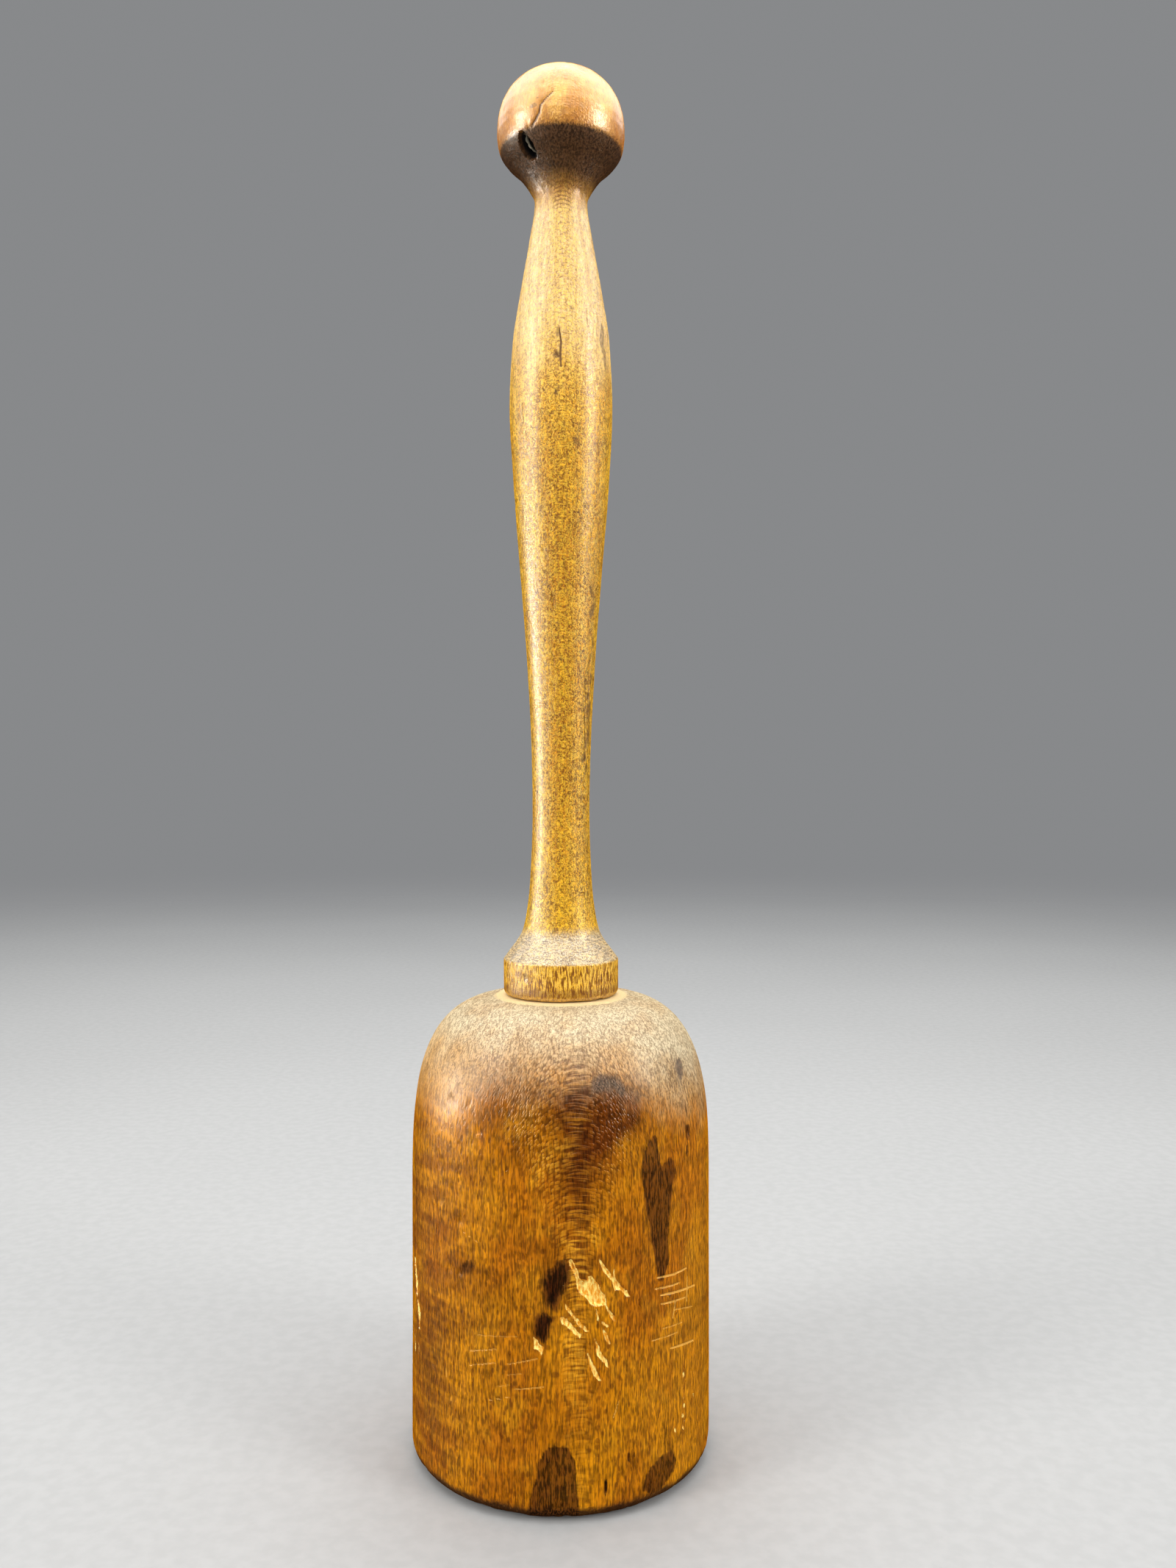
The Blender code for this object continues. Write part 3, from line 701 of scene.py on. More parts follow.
def handle_fields(angle, height):
    """Depth of every mark in mm, and the colour masks."""
    depth, masks = cut_masks(angle, height, CRACKS, reach=0.8, depth_scale=0.35)
    stain = np.zeros(angle.shape)
    for *at, width, tall, lean, strength in HANDLE_STAINS:
        mark = blob(angle, height, at, width, tall, lean, handle_radius(at[1]))
        stain = np.maximum(stain, strength * np.clip(1.6 - 0.8 * mark, 0, 1.4))
    # the worm hole: a pear shape with steep walls, and a splinter standing inside it
    x = wrap(angle - math.radians(WORM_HOLE[0])) * 15.2
    y = (height - WORM_HOLE[1]) / 0.68
    pear = np.hypot(x / (2.0 - 0.2 * y), y / 4.1)
    zone = (np.abs(x) < 6) & (np.abs(y) < 8)
    hole = np.where(zone, np.clip((1.12 - pear) / 0.30, 0, 1), 0.0)
    rib = np.exp(-((x + 0.35 + 0.14 * y - 0.3 * np.sin(y * 0.9)) / 0.34) ** 2)
    depth = depth + 3.6 * hole * (1.0 - 0.72 * rib * smoothstep(pear, 1.25, 0.2))
    return depth, {**masks, "m_stain": stain, "m_hole": hole,
                   "m_rib": np.where(zone, rib * hole, 0.0)}


def cut_kerf(handle):
    """Saw the tapered kerf for the wedge into the tenon."""
    low, high = TENON_END - 3.0, TENON_END + 34.0

    def half(z):
        taper = (WEDGE_THICK - WEDGE_THIN) * (z - WEDGE_BASE) / KERF_TAPER_H
        return 0.5 * (WEDGE_THICK - taper) + GAP

    cutter = wedge_block("kerf_tool", low, high, half(low), half(high), width=33.0)
    kerf = handle.modifiers.new("kerf", "BOOLEAN")
    kerf.operation, kerf.solver, kerf.object = "DIFFERENCE", "EXACT", cutter
    graph = bpy.context.evaluated_depsgraph_get()
    mesh = bpy.data.meshes.new_from_object(handle.evaluated_get(graph))
    handle.modifiers.clear()
    uncut = handle.data
    handle.data = mesh
    bpy.data.meshes.remove(uncut)
    bpy.data.objects.remove(cutter, do_unlink=True)


def make_handle():
    radii, heights, outer_rows = handle_rows()
    angles = columns([(-180, -96, 2.6), (-96, -58, 1.7), (-58, 20, 1.25), (20, 96, 1.7),
                      (96, 180, 2.6)])
    rows = len(radii)

    def surface(angle, radius, height):
        depth, masks = handle_fields(angle, height)
        x, y, z = radius * np.sin(angle), -radius * np.cos(angle), height
        move = 0.09 * fbm(x / 14, y / 14, z / 30, 61) + 0.02 * fbm(x / 3, y / 3, z / 7, 62)
        # faint turning ripples
        ripple = np.sin(z * 2.1 + 1.5 * noise3(z / 9, 0.0, 0.0, 63))
        move = move + 0.018 * ripple * smoothstep(z, 150, 190)
        dents = noise3(x / 2.2, y / 2.2, z / 3.0, 64)
        move = move - 0.13 * smoothstep(dents, 0.66, 0.95)
        # bruised lower corner of the collar, and a chip above it
        low = smoothstep(z, COLLAR_LOW + 1.6, COLLAR_LOW + 0.2)
        move = move - low * 0.22 * np.clip(fbm(x / 1.6, y / 1.6, z / 2, 65), 0, 1)
        chip = blob(angle, z, (-36.6, 135.0), 0.9, 1.2, radius=16.4)
        move = move - 0.25 * np.clip(1.2 - chip, 0, 1)
        outer = (np.arange(rows) < outer_rows)[:, None]
        return np.where(outer, np.minimum(move, 0.1) - depth, 0.0), masks

    path = travel(radii, heights)
    split = int(np.argmax(path > 0.5 * (path[outer_rows] + 10)))
    outer_end = path[outer_rows]

    def uv_of(face_row, row, turn):
        if face_row < split:                    # upper half
            v = 0.003
            if row >= 0:
                v += 0.994 * (1.5 + path[row]) / (1.5 + path[split])
            return strip(0.003, 0.49, turn, v)
        if face_row < outer_rows:               # lower half
            v = 0.003 + 0.93 * (path[row] - path[split]) / (outer_end - path[split])
        elif row < rows:                        # tenon
            v = 0.945 + 0.05 * (path[row] - outer_end) / (path[-1] - outer_end)
        else:
            v = 0.997
        return strip(0.503, 0.49, turn, v)

    handle = lathe("turned_handle", radii, heights, angles, surface, uv_of, TOP, TENON_END)
    cut_kerf(handle)
    soften(handle)
    return handle


# ----------------------------------------------------------------- the wedge
def wedge_block(name, low, high, half_low, half_high, width, ease=0.0):
    """Block tapering in X from half_low to half_high; ease rounds its edges."""
    bm = bmesh.new()
    bmesh.ops.create_cube(bm, size=1.0)
    for v in bm.verts:
        half, z = (half_high, high) if v.co.z > 0 else (half_low, low)
        v.co = (math.copysign(half * MM, v.co.x), math.copysign(0.5 * width * MM, v.co.y), z * MM)
    if ease > 0:
        bmesh.ops.bevel(bm, geom=bm.edges[:], offset=ease * MM, segments=2, affect="EDGES",
                        profile=0.5)
        long_edges = [e for e in bm.edges if e.calc_length() > 8 * MM]
        bmesh.ops.subdivide_edges(bm, edges=long_edges, cuts=12, use_grid_fill=True)
    bmesh.ops.recalc_face_normals(bm, faces=bm.faces[:])
    mesh = bpy.data.meshes.new(name)
    bm.to_mesh(mesh)
    bm.free()
    return link(name, mesh)


def make_wedge():
    width = (wedge_high.y - wedge_low.y) / MM
    return wedge_block("spreading_wedge", WEDGE_BASE, WEDGE_TIP, 0.5 * WEDGE_THICK,
                       0.5 * WEDGE_THIN, width, ease=0.15)


# ------------------------------------------------------------- node building
def put(socket, value):
    """Link a Value to an input, or set the input to a constant."""
    if isinstance(value, Value):
        value.tree.links.new(value.socket, socket)
    elif socket.type == "RGBA":
        socket.default_value = (*value, 1.0)
    else:
        socket.default_value = value


def build(tree, kind, inputs=(), **settings):
    """New shader node; inputs are values in order, or keyed by input name or number."""
    node = tree.nodes.new("ShaderNode" + kind)
    for key, setting in settings.items():
        setattr(node, key, setting)
    for key, value in inputs.items() if isinstance(inputs, dict) else enumerate(inputs):
        put(node.inputs[key], value)
    return node


def combine(tree, *parts):
    return Value(build(tree, "CombineXYZ", parts).outputs[0])


def rgb(*screen):
    """Screen colour 0-255 to the linear value a material wants."""
    parts = [c / 255 for c in screen]
    return tuple(c / 12.92 if c <= 0.04045 else ((c + 0.055) / 1.055) ** 2.4 for c in parts)


class Value:
    """Output of a shader node; arithmetic on it adds Math nodes."""

    def __init__(self, socket):
        self.socket, self.tree = socket, socket.id_data

    def node(self, kind, inputs, output=0, **settings):
        return Value(build(self.tree, kind, inputs, **settings).outputs[output])

    def math(self, operation, second=0.0, third=0.0, clamp=False):
        return self.node("Math", (self, second, third), operation=operation, use_clamp=clamp)

    def __add__(self, other):
        return self.math("ADD", other)

    def __sub__(self, other):
        return self.math("SUBTRACT", other)

    def __rsub__(self, number):
        return self.node("Math", (number, self, 0.0), operation="SUBTRACT")

    def __mul__(self, other):
        return self.math("MULTIPLY", other)

    def __truediv__(self, other):
        return self.math("DIVIDE", other)

    def __abs__(self):
        return self.math("ABSOLUTE")

    def min(self, other):
        return self.math("MINIMUM", other)

    def max(self, other, clamp=False):
        return self.math("MAXIMUM", other, clamp=clamp)

    def swing(self, amount):
        """A 0-to-1 value made to vary by amount about nought."""
        return (self - 0.5) * amount

    def ramp(self, start, end, to=(0.0, 1.0)):
        """Smooth step from to[0] at start to to[1] at end; start may be the larger."""
        if start > end:
            start, end, to = end, start, to[::-1]
        return self.node("MapRange", {0: self, 1: start, 2: end, 3: to[0], 4: to[1]},
                         interpolation_type="SMOOTHSTEP")

    def split(self):
        return [Value(s) for s in build(self.tree, "SeparateXYZ", (self,)).outputs]

    def scaled(self, factors):
        return self.node("VectorMath", (self, factors), operation="MULTIPLY")

    def noise(self, detail=2.0, rough=0.5, warp=0.0, scale=1.0):
        return self.node("TexNoise", {"Vector": self, "Scale": scale, "Detail": detail,
                                      "Roughness": rough, "Distortion": warp})

    def grain(self, across, along, shift=None, **noise):
        """Noise on a place in mm, with its own frequency across (X, Y) and along the axis."""
        place = self.scaled((across, across, along))
        if shift:
            place = place.node("VectorMath", (place, shift), operation="ADD")
        return place.noise(**noise)

    def cells(self, randomness=1.0, **settings):
        """Voronoi cells: distance from the middle and one random number per cell."""
        inputs = {"Vector": self, "Scale": 1.0, "Randomness": randomness}
        if settings:
            inputs["Exponent"] = 3.0
        outputs = build(self.tree, "TexVoronoi", inputs, feature="F1", **settings).outputs
        return Value(outputs["Distance"]), Value(outputs["Color"]).split()[0]

    def _mix(self, factor, first, second, mode="MIX"):
        return self.node("Mix", {0: factor, 6: first, 7: second}, output=2, data_type="RGBA",
                         blend_type=mode, clamp_factor=True)

    def blend(self, low, high):
        """Colour low where this is 0, high where it is 1."""
        return self._mix(self, low, high)

    def over(self, amount, colour):
        """This colour with another laid over it."""
        return self._mix(amount, self, colour)

    def times(self, colour):
        return self._mix(1.0, self, colour, "MULTIPLY")

    def shade(self, grey):
        return self.times(combine(self.tree, grey, grey, grey))

    def lerp(self, low, high):
        """Number low where this is 0, high where it is 1."""
        return self.node("Mix", {0: self, 2: low, 3: high}, data_type="FLOAT")

    def bump(self, strength, distance):
        return self.node("Bump", {"Height": self, "Strength": strength, "Distance": distance})


class Material:
    """Material with one Principled surface."""

    def __init__(self, name):
        self.material = bpy.data.materials.new(name)
        self.material.use_nodes = True
        self.tree = self.material.node_tree
        self.tree.nodes.clear()
        self.surface = build(self.tree, "BsdfPrincipled")
        build(self.tree, "OutputMaterial", (Value(self.surface.outputs[0]),))

    def source(self, kind, output, inputs=(), **settings):
        return Value(build(self.tree, kind, inputs, **settings).outputs[output])

    def place(self):
        return self.source("TexCoord", "Object")

    def place_mm(self):
        return self.place().scaled((1000.0,) * 3)

    def mask(self, name):
        return self.source("Attribute", "Fac", attribute_name=name)

    def facing(self, full, none):
        """1 where the surface looks at the viewer, fading to 0 at glancing angles."""
        return self.source("LayerWeight", "Facing", {"Blend": 0.5}).ramp(none, full)

    def finish(self, inputs):
        for name, value in inputs.items():
            put(self.surface.inputs[name], value)
        return self.material


# ---------------------------------------------------------------- materials
def figure(place, pith, unit, dash, line, radius, wide, small, rise, bow):
    """Solid wood figure in mm.

    Medullary rays run out from the pith (x, y). Near the radial line (its angle in degrees)
    they show as flecks: wide and small are their widths on and beside the line, rise their
    spacing up the axis and bow how they curve down to either side. Elsewhere they show as
    short dashes: dash is their size round the pith, outwards and upright, and unit is the
    length in mm of one radian round the pith. radius is that of the turned surface.
    """
    x, y, z = place.split()
    slow = place.grain(0.03, 0.02)
    quick = place.grain(0.22, 0.12)
    dx = x - pith[0]
    dy = y - pith[1]
    outward = (dx * dx + dy * dy).math("SQRT")
    around = dy.math("ARCTAN2", dx * -1.0) * unit + slow.swing(2.2)
    # distance round the surface from the line at the front, and from its twin at the back
    turn = (x.math("ARCTAN2", y * -1.0) - math.radians(line)).math(
        "WRAP", 0.5 * math.pi, -0.5 * math.pi)
    arc = turn * radius + slow.swing(5.0)
    sway = abs(arc).min(0.6 * radius)
    stretch = (arc * (1.0 / wide)).math("TANH") * (wide * (1.0 / small - 0.85 / wide))
    across = arc * (1.0 / small) - stretch
    bowed = (z + (sway * sway) * bow) + quick.swing(1.1)
    fleck_cells = combine(place.tree, across + 0.4, bowed * (1.0 / rise), 0.0)
    fleck, fleck_luck = fleck_cells.cells(randomness=0.8, voronoi_dimensions="2D",
                                          distance="MINKOWSKI")
    dash_cells = combine(place.tree, around * (1.0 / dash[0]), outward * (1.0 / dash[1]),
                         z * (1.0 / dash[2]))
    mark, mark_luck = dash_cells.cells()
    growth = outward * (TAU / 2.7) + place.grain(0.05, 0.008) * 9.0
    upright = combine(place.tree, outward * 1.9, around * 0.8, z * 0.16)
    return SimpleNamespace(
        flecks=fleck.ramp(0.50, 0.24) * fleck_luck.ramp(0.1, 0.7, to=(0.1, 1.0)),
        gaps=fleck.ramp(0.40, 0.62),
        dashes=mark.ramp(0.5, 0.26) * mark_luck.ramp(0.25, 0.65),
        rings=growth.math("SINE"),
        lines=upright.noise(rough=0.55),
        arc=arc, off=abs(arc), bowed=bowed)


def ladder(fig, wide, rise):
    """Stacked bars on the radial line, and a mask of how far they reach to either side."""
    tree = fig.arc.tree
    bars = combine(tree, fig.arc * 0.10, 0.0, fig.bowed * (0.98 / rise)).noise()
    ends = combine(tree, fig.arc * 0.2, 5.0, fig.bowed * (0.9 / rise)).noise(detail=1)
    reach = fig.off + ends.swing(2.4 * wide / 4.0)
    return bars.ramp(0.47, 0.56), reach.ramp(0.66 * wide, 0.34 * wide)


def head_wood():
    """Amber varnish on old wood, worn to tan and pale wood on the shoulder, with painted
    highlights on the shoulder's top and left side.
    """
    wood = Material("head_old_wood")
    place = wood.place_mm()
    x, y, z = place.split()
    big = place.grain(0.045, 0.03, detail=3, rough=0.55)
    cloud = place.grain(0.12, 0.09, detail=3, rough=0.6)
    wide, rise = 5.6, 0.95
    fig = figure(place, pith=(73.8, -35.4), unit=75.0, dash=(0.38, 4.0, 2.0), line=7.3,
                 radius=42.5, wide=wide, small=0.8, rise=rise, bow=0.042)
    bars, core = ladder(fig, wide, rise)
    # lie: how nearly the surface follows the rays, over a reach in mm that grows upwards
    reach = z.ramp(62, 112, to=(4, 17)) + z.ramp(84, 104, to=(0, 2))
    lie = (fig.off / reach).ramp(1.4, 0.4)
    lie = lie * (z + cloud.swing(60)).ramp(26, 66, to=(0.4, 1))
    lie = lie * z.ramp(122, 110, to=(0.6, 1))
    curl = place.grain(0.055, 0.26, detail=3, rough=0.55, warp=0.6)
    pores = place.grain(2.3, 0.36, rough=0.55)
    fine = place.grain(1.5, 0.5, detail=3, rough=0.6)
    speck = place.grain(2.6, 1.1, rough=0.6)

    # varnished body: amber to red brown, redder on the left
    base = big.ramp(0.34, 0.66).blend(rgb(184, 106, 1), rgb(212, 136, 2))
    base = base.over(cloud.ramp(0.5, 0.72, to=(0, 0.6)), rgb(228, 153, 9))
    base = base.shade(curl.ramp(0.3, 0.66, to=(0.80, 1.04)))
    left = x.ramp(-14, -34)
    base = base.over(left * curl.ramp(0.62, 0.40, to=(0.1, 0.6)), rgb(140, 72, 5))
    base = base.shade(pores.ramp(0.38, 0.58, to=(0.50, 1.12)))
    base = base.shade(fig.lines.ramp(0.36, 0.6, to=(0.72, 1.1)))
    base = base.shade(z.ramp(58, 34, to=(1, 0.93)))
    base = base.over(fig.dashes * lie.ramp(0.9, 0.2, to=(0.1, 0.56)), rgb(86, 40, 2))
    base = base.over(fig.rings.ramp(0.55, 1, to=(0, 0.2)), rgb(120, 52, 6))
    base = base.over(fig.gaps * lie * 0.5, rgb(90, 43, 1))
    gold = cloud.ramp(0.35, 0.7).blend(rgb(206, 128, 8), rgb(240, 172, 40))
    base = base.over(fig.flecks * lie * 0.6, gold)

    # bars on the radial line, fading towards the foot and the top
    core = core * (lie.ramp(0.2, 0.7) * (z + cloud.swing(90)).ramp(40, 84, to=(0.3, 1)))
    core = core * z.ramp(119, 111, to=(0.4, 1))
    between = pores.ramp(0.4, 0.6).blend(rgb(84, 36, 1), rgb(128, 62, 3))
    on_bar = pores.ramp(0.36, 0.5).blend(rgb(180, 108, 8), gold)
    base = base.over(core * 0.68, bars.blend(between, on_bar))
    smoke = wood.mask("m_smoke") * (cloud + fine * 0.4).ramp(0.35, 0.95, to=(1.05, 0.72))
    base = base.over(smoke, base.times((0.26, 0.17, 0.13)))

    # worn shoulder, partly painted highlight: a wandering height drives how much finish is gone
    side = x.ramp(13, 39) + x.ramp(-13, -39, to=(0, 0.55))
    wear = z + (big.swing(7) + fine.swing(7))
    wear = wear + cloud.swing(12)
    wear = wear + side * 13
    half = wear.ramp(104.5, 118.5)
    full = wear.ramp(116, 128)
    streak = pores * 0.4 + fig.lines * 0.6
    streak = streak * 0.6 + place.grain(2.9, 1.3, rough=0.6) * 0.4
    tan = streak.ramp(0.43, 0.57).blend(rgb(116, 90, 60), rgb(196, 164, 118))
    tan = tan.over(fig.dashes * lie.ramp(0.9, 0.2, to=(0.08, 0.28)), rgb(104, 74, 46))
    tan = tan.over(fig.gaps * (lie * 0.68), rgb(100, 72, 50))
    tan = tan.over(fig.flecks * (lie * 0.74), rgb(220, 188, 142))
    tan = tan.over(core * 0.6, bars.blend(rgb(110, 80, 56), rgb(214, 182, 136)))
    warm = wear.ramp(123, 111) * (side * 1.6).min(0.85)
    tan = tan.over(warm, tan.times((1.05, 0.93, 0.62)))
    grey = (cloud * 0.6 + big * 0.4).ramp(0.40, 0.56) * wear.ramp(122, 111)
    tan = tan.over(grey * side.ramp(0.1, 0.5, to=(0.8, 0.45)),
                   streak.ramp(0.4, 0.6).blend(rgb(84, 64, 52), rgb(156, 128, 106)))
    # pale top: worn pale wood, made whiter as a painted highlight from the light above
    pale = streak.ramp(0.43, 0.57).blend(rgb(150, 132, 102), rgb(216, 201, 166))
    pale = pale.over(fig.gaps * (lie * 0.5), rgb(134, 106, 78))
    base = base.over(half * 0.86, tan)
    base = base.over(full * cloud.ramp(0.3, 0.6, to=(0.45, 0.85)), pale)
    patchy = (cloud + streak.swing(1.2)).ramp(0.3, 0.7, to=(1, 0.6))
    haze = (wood.mask("m_smoke") * 1.0).min(1.0) * (half * patchy)
    base = base.over(haze, base.times((0.22, 0.20, 0.19)))
    # painted highlight: golden colour laid on the left shoulder in place of the side light's
    # sheen, where the coat is cut back
    painted_highlight_left = x.ramp(-14, -30) * (z.ramp(97, 106) * z.ramp(125, 116))
    base = base.over(painted_highlight_left * streak.ramp(0.44, 0.56, to=(0.15, 0.45)), rgb(216, 158, 78))

    # bare ring round the collar
    from_axis = (x * x + y * y).math("SQRT")
    seat = (from_axis + fine.swing(4)).ramp(19.6, 18.4) * z.ramp(126, 127.6)
    base = base.over(seat, speck.blend(rgb(214, 186, 128), rgb(246, 226, 180)))

    # darker, speckled lower edge; end grain on the striking face
    low = (z + cloud.swing(3)).ramp(4.8, 2.6)
    base = base.over(low * 0.9, speck.ramp(0.55, 0.85).blend(rgb(46, 21, 8), rgb(140, 98, 58)))
    under = z.ramp(0.25, 0.05)
    end_grain = speck.ramp(0.35, 0.65).blend(rgb(104, 74, 44), rgb(168, 130, 84))
    end_grain = end_grain.over(fig.rings.ramp(-0.2, 1, to=(0, 0.5)), rgb(92, 62, 36))
    end_grain = end_grain.over(cloud.ramp(0.5, 0.72, to=(0, 0.6)), rgb(72, 50, 32))
    base = base.over(under * 0.92, end_grain)

    # dark stains with edges drawn out along the grain, black at their strongest
    edge = place.grain(1.0, 0.25, detail=3, rough=0.6).swing(0.9) + speck.swing(0.5)
    mark = wood.mask("m_stain")
    stain = (mark + edge * mark.ramp(0, 0.3)).ramp(0.25, 0.66)
    brown = pores.ramp(0.42, 0.58).blend(rgb(24, 8, 2), rgb(128, 68, 16))
    dark = base.times((0.17, 0.15, 0.2)).over(0.45, brown)
    dark = dark.over(mark.ramp(0.95, 1.25),
                     pores.ramp(0.42, 0.68).blend(rgb(16, 2, 1), rgb(62, 24, 4)))
    dark = dark.over(z.ramp(100, 110),
                     speck.ramp(0.4, 0.7).blend(rgb(48, 39, 36), rgb(120, 94, 76)))
    base = base.over(stain * mark.ramp(0.4, 0.95, to=(0.6, 0.95)), dark)

    # fresh wood in the gouges and cuts, with a darker halo round the gouges
    inside = wood.mask("m_raw") + (fine.swing(0.5) + speck.swing(0.5))
    raw = inside.ramp(-0.05, 0.16)
    fresh = fine.ramp(0.38, 0.62).blend(rgb(226, 146, 30), rgb(255, 226, 126))
    base = base.over(raw * 0.96, fresh)
    halo = inside.ramp(-0.9, 0) * (1.0 - raw)
    base = base.over(halo * 0.3, rgb(140, 74, 8))
    distance = wood.mask("m_cut") + speck.swing(0.22)
    cut = (distance - wood.mask("m_cutw")).ramp(0.16, -0.02)
    cut = cut * (wood.mask("m_cuts") * fine.ramp(0.25, 0.5, to=(0.5, 1)))
    base = base.over(cut * x.ramp(-2, 14, to=(0.6, 0.76)), rgb(240, 178, 78))

    # sheen of the old varnish, dull where it is worn or cut
    bare = (wear.ramp(103, 112) * 0.85).max(raw).max(low.max(under), clamp=True)
    keep = wood.facing(full=0.5, none=0.9) * (1.0 - painted_highlight_left * 0.5)
    coat = (keep * (1.0 - bare)) * cloud.ramp(0.35, 0.65, to=(0.24, 0.58))
    # relief: bars or flecks over the pores, with cuts and gouges sunk
    relief = pores * 0.8 + core.lerp(fig.flecks * lie, bars) * 1.2
    relief = relief + fig.lines * 0.5
    relief = relief + speck * half.lerp(0.15, 0.45)
    relief = relief - fig.dashes * 0.25
    relief = relief - cut * 1.6
    relief = relief - raw * (fine * 1.6)
    return wood.finish({
        "Base Color": base,
        "Roughness": bare.lerp(fine.ramp(0.3, 0.7, to=(0.26, 0.40)), 0.50),
        "Specular IOR Level": keep * bare.lerp(0.22, 0.36),
        "Specular Tint": half.blend((1.0, 0.7, 0.3),
                                    full.blend((1.0, 0.9, 0.72), (1.0, 1.0, 0.96))),
        "Coat Weight": coat,
        "Coat Roughness": 0.17,
        "Normal": relief.bump(strength=0.6, distance=0.00018),
        "Coat Normal": relief.bump(strength=0.42, distance=0.00014),
    })


def handle_wood():
    """Honey wood with lacy figure and painted glints, a redder knob, dirt and painted shade under
    it and a worn neck.
    """
    wood = Material("handle_honey_wood")
    place = wood.place_mm()
    z = place.split()[2]
    fig = figure(place, pith=(52.0, -13.0), unit=52.0, dash=(0.34, 3.0, 1.4), line=3.0,
                 radius=12.0, wide=1.7, small=0.5, rise=0.68, bow=0.09)
    off = fig.off
    lie = off.ramp(7, 1.5)
    big = place.grain(0.07, 0.03, detail=3, rough=0.55)
    cloud = place.grain(0.2, 0.08, detail=3, rough=0.6)
    pores = place.grain(1.9, 0.55, rough=0.55)
    fine = place.grain(2.0, 0.8, detail=3, rough=0.6)
    speck = place.grain(3.2, 1.7, rough=0.6)
    # lace: thin contours of warped noise, dark (worm, vein), and bright painted glints standing
    # in for tiny highlights on the bumpy surface
    worm = abs(place.grain(1.0, 0.9, detail=1, warp=1.1) - 0.5).ramp(0.075, 0.035)
    painted_glint = place.grain(1.1, 0.95, shift=(7.3, 2.1, 5.5), detail=1, warp=1.1)
    painted_glint = abs(painted_glint - 0.5).ramp(0.07, 0.03)
    vein = place.grain(0.8, 0.62, shift=(1.7, 9.4, 3.3), detail=1, warp=1.6)
    vein = abs(vein - 0.5).ramp(0.042, 0.018) * cloud.ramp(0.34, 0.56, to=(1, 0.45))

    # honey body; the upper grip is paler, partly paler wood and partly a painted highlight from
    # the light above
    knob = z.ramp(364, 371.5)
    base = big.ramp(0.35, 0.65).blend(rgb(210, 144, 8), rgb(232, 170, 16))
    base = base.over(cloud.ramp(0.5, 0.75, to=(0, 0.6)), rgb(240, 184, 26))
    base = base.over(cloud.ramp(0.5, 0.28, to=(0, 0.35)), rgb(172, 104, 4))
    base = base.over(off.ramp(6.5, 2) * z.ramp(316, 250, to=(0, 0.8)), rgb(178, 108, 2))
    upper = (z + cloud.swing(26)).ramp(292, 322) * z.ramp(362, 350)
    # painted highlight in part: cream laid over the upper grip where it turns up to the light
    # above
    base = base.over(upper * 0.6, rgb(242, 214, 172))
    base = base.over(z.ramp(172, 152, to=(0, 0.45)), rgb(246, 192, 26))
    base = base.shade(upper.lerp(pores.ramp(0.40, 0.56, to=(0.46, 1.18)),
                                 pores.ramp(0.39, 0.56, to=(0.74, 1.08))))
    lane = abs((off + big.swing(1.6)) - 7.2).ramp(1.2, 0.3)
    lane = lane * (z.ramp(300, 346) * z.ramp(359, 354))
    base = base.over(lane * 0.5, rgb(160, 92, 34))
    base = base.shade(fig.lines.ramp(0.36, 0.6, to=(0.82, 1.06)))

    # figure, calmer on the knob and weaker on the upper grip
    calm = 1.0 - knob * 0.7
    low = z.ramp(310, 270)
    base = base.over(vein * (low * 0.9), rgb(60, 27, 1))
    weaker = upper.ramp(0, 1, to=(1, 0.55)) * lie.ramp(0.9, 0.2, to=(0.25, 0.7))
    base = base.over(fig.dashes * calm * weaker, rgb(116, 64, 10))
    weaker = cloud.ramp(0.3, 0.6, to=(0.85, 0.6)) * upper.ramp(0, 1, to=(1, 0.5))
    base = base.over(worm * calm * weaker, rgb(88, 42, 1))
    base = base.over(fig.gaps * (lie * calm) * 0.55, rgb(130, 74, 4))
    base = base.over(fig.flecks * (lie * calm) * 0.45, rgb(240, 184, 40))
    # painted glints: bright specks in the colour standing in for small highlights
    bright = (low * lie).blend(rgb(255, 210, 84), rgb(250, 200, 44))
    base = base.over(painted_glint * calm * 0.5, bright)
    base = base.over(fig.rings.ramp(0.5, 1, to=(0, 0.18)), rgb(150, 92, 26))

    # knob: redder and smoother, browner towards its lower edge and sides
    red = cloud.ramp(0.38, 0.68).blend(rgb(190, 122, 40), rgb(226, 170, 84))
    red = red.shade(pores.ramp(0.36, 0.58, to=(0.84, 1.05)))
    red = red.over(z.ramp(378, 371) * speck.ramp(0.58, 0.42, to=(0.15, 0.75)), rgb(140, 70, 16))
    rim = (off + cloud.swing(5)).ramp(7, 12) * z.ramp(383, 374)
    red = red.over(rim * fine.ramp(0.35, 0.65, to=(0.75, 0.4)), rgb(150, 78, 20))
    base = base.over(knob * 0.85, red)

    # dirt and painted shade packed under the knob, running out down the neck, with faint arcs
    # below it
    rough_z = z + (fine.swing(1.2) + speck.swing(1))
    lip = rough_z.ramp(370.9, 369.6)
    run = (rough_z + cloud.swing(5)).ramp(355, 362.5)
    neck = rough_z.ramp(372, 369) * (rough_z + cloud.swing(8)).ramp(350, 358)
    # brown from under the knob into the neck: dirt, darkened further as painted shade
    brown = speck.ramp(0.4, 0.64).blend(rgb(92, 50, 18), rgb(176, 112, 44))
    base = base.over(neck * 0.62, brown)
    arcs = ((z + (off * off) * 0.05) * (TAU / 1.2) + fine * 5).math("SINE")
    arcs = (arcs.ramp(0, 0.8) * off.ramp(5, 3)) * (z.ramp(349.5, 353) * z.ramp(361, 358))
    base = base.over(arcs * 0.6, rgb(96, 50, 12))
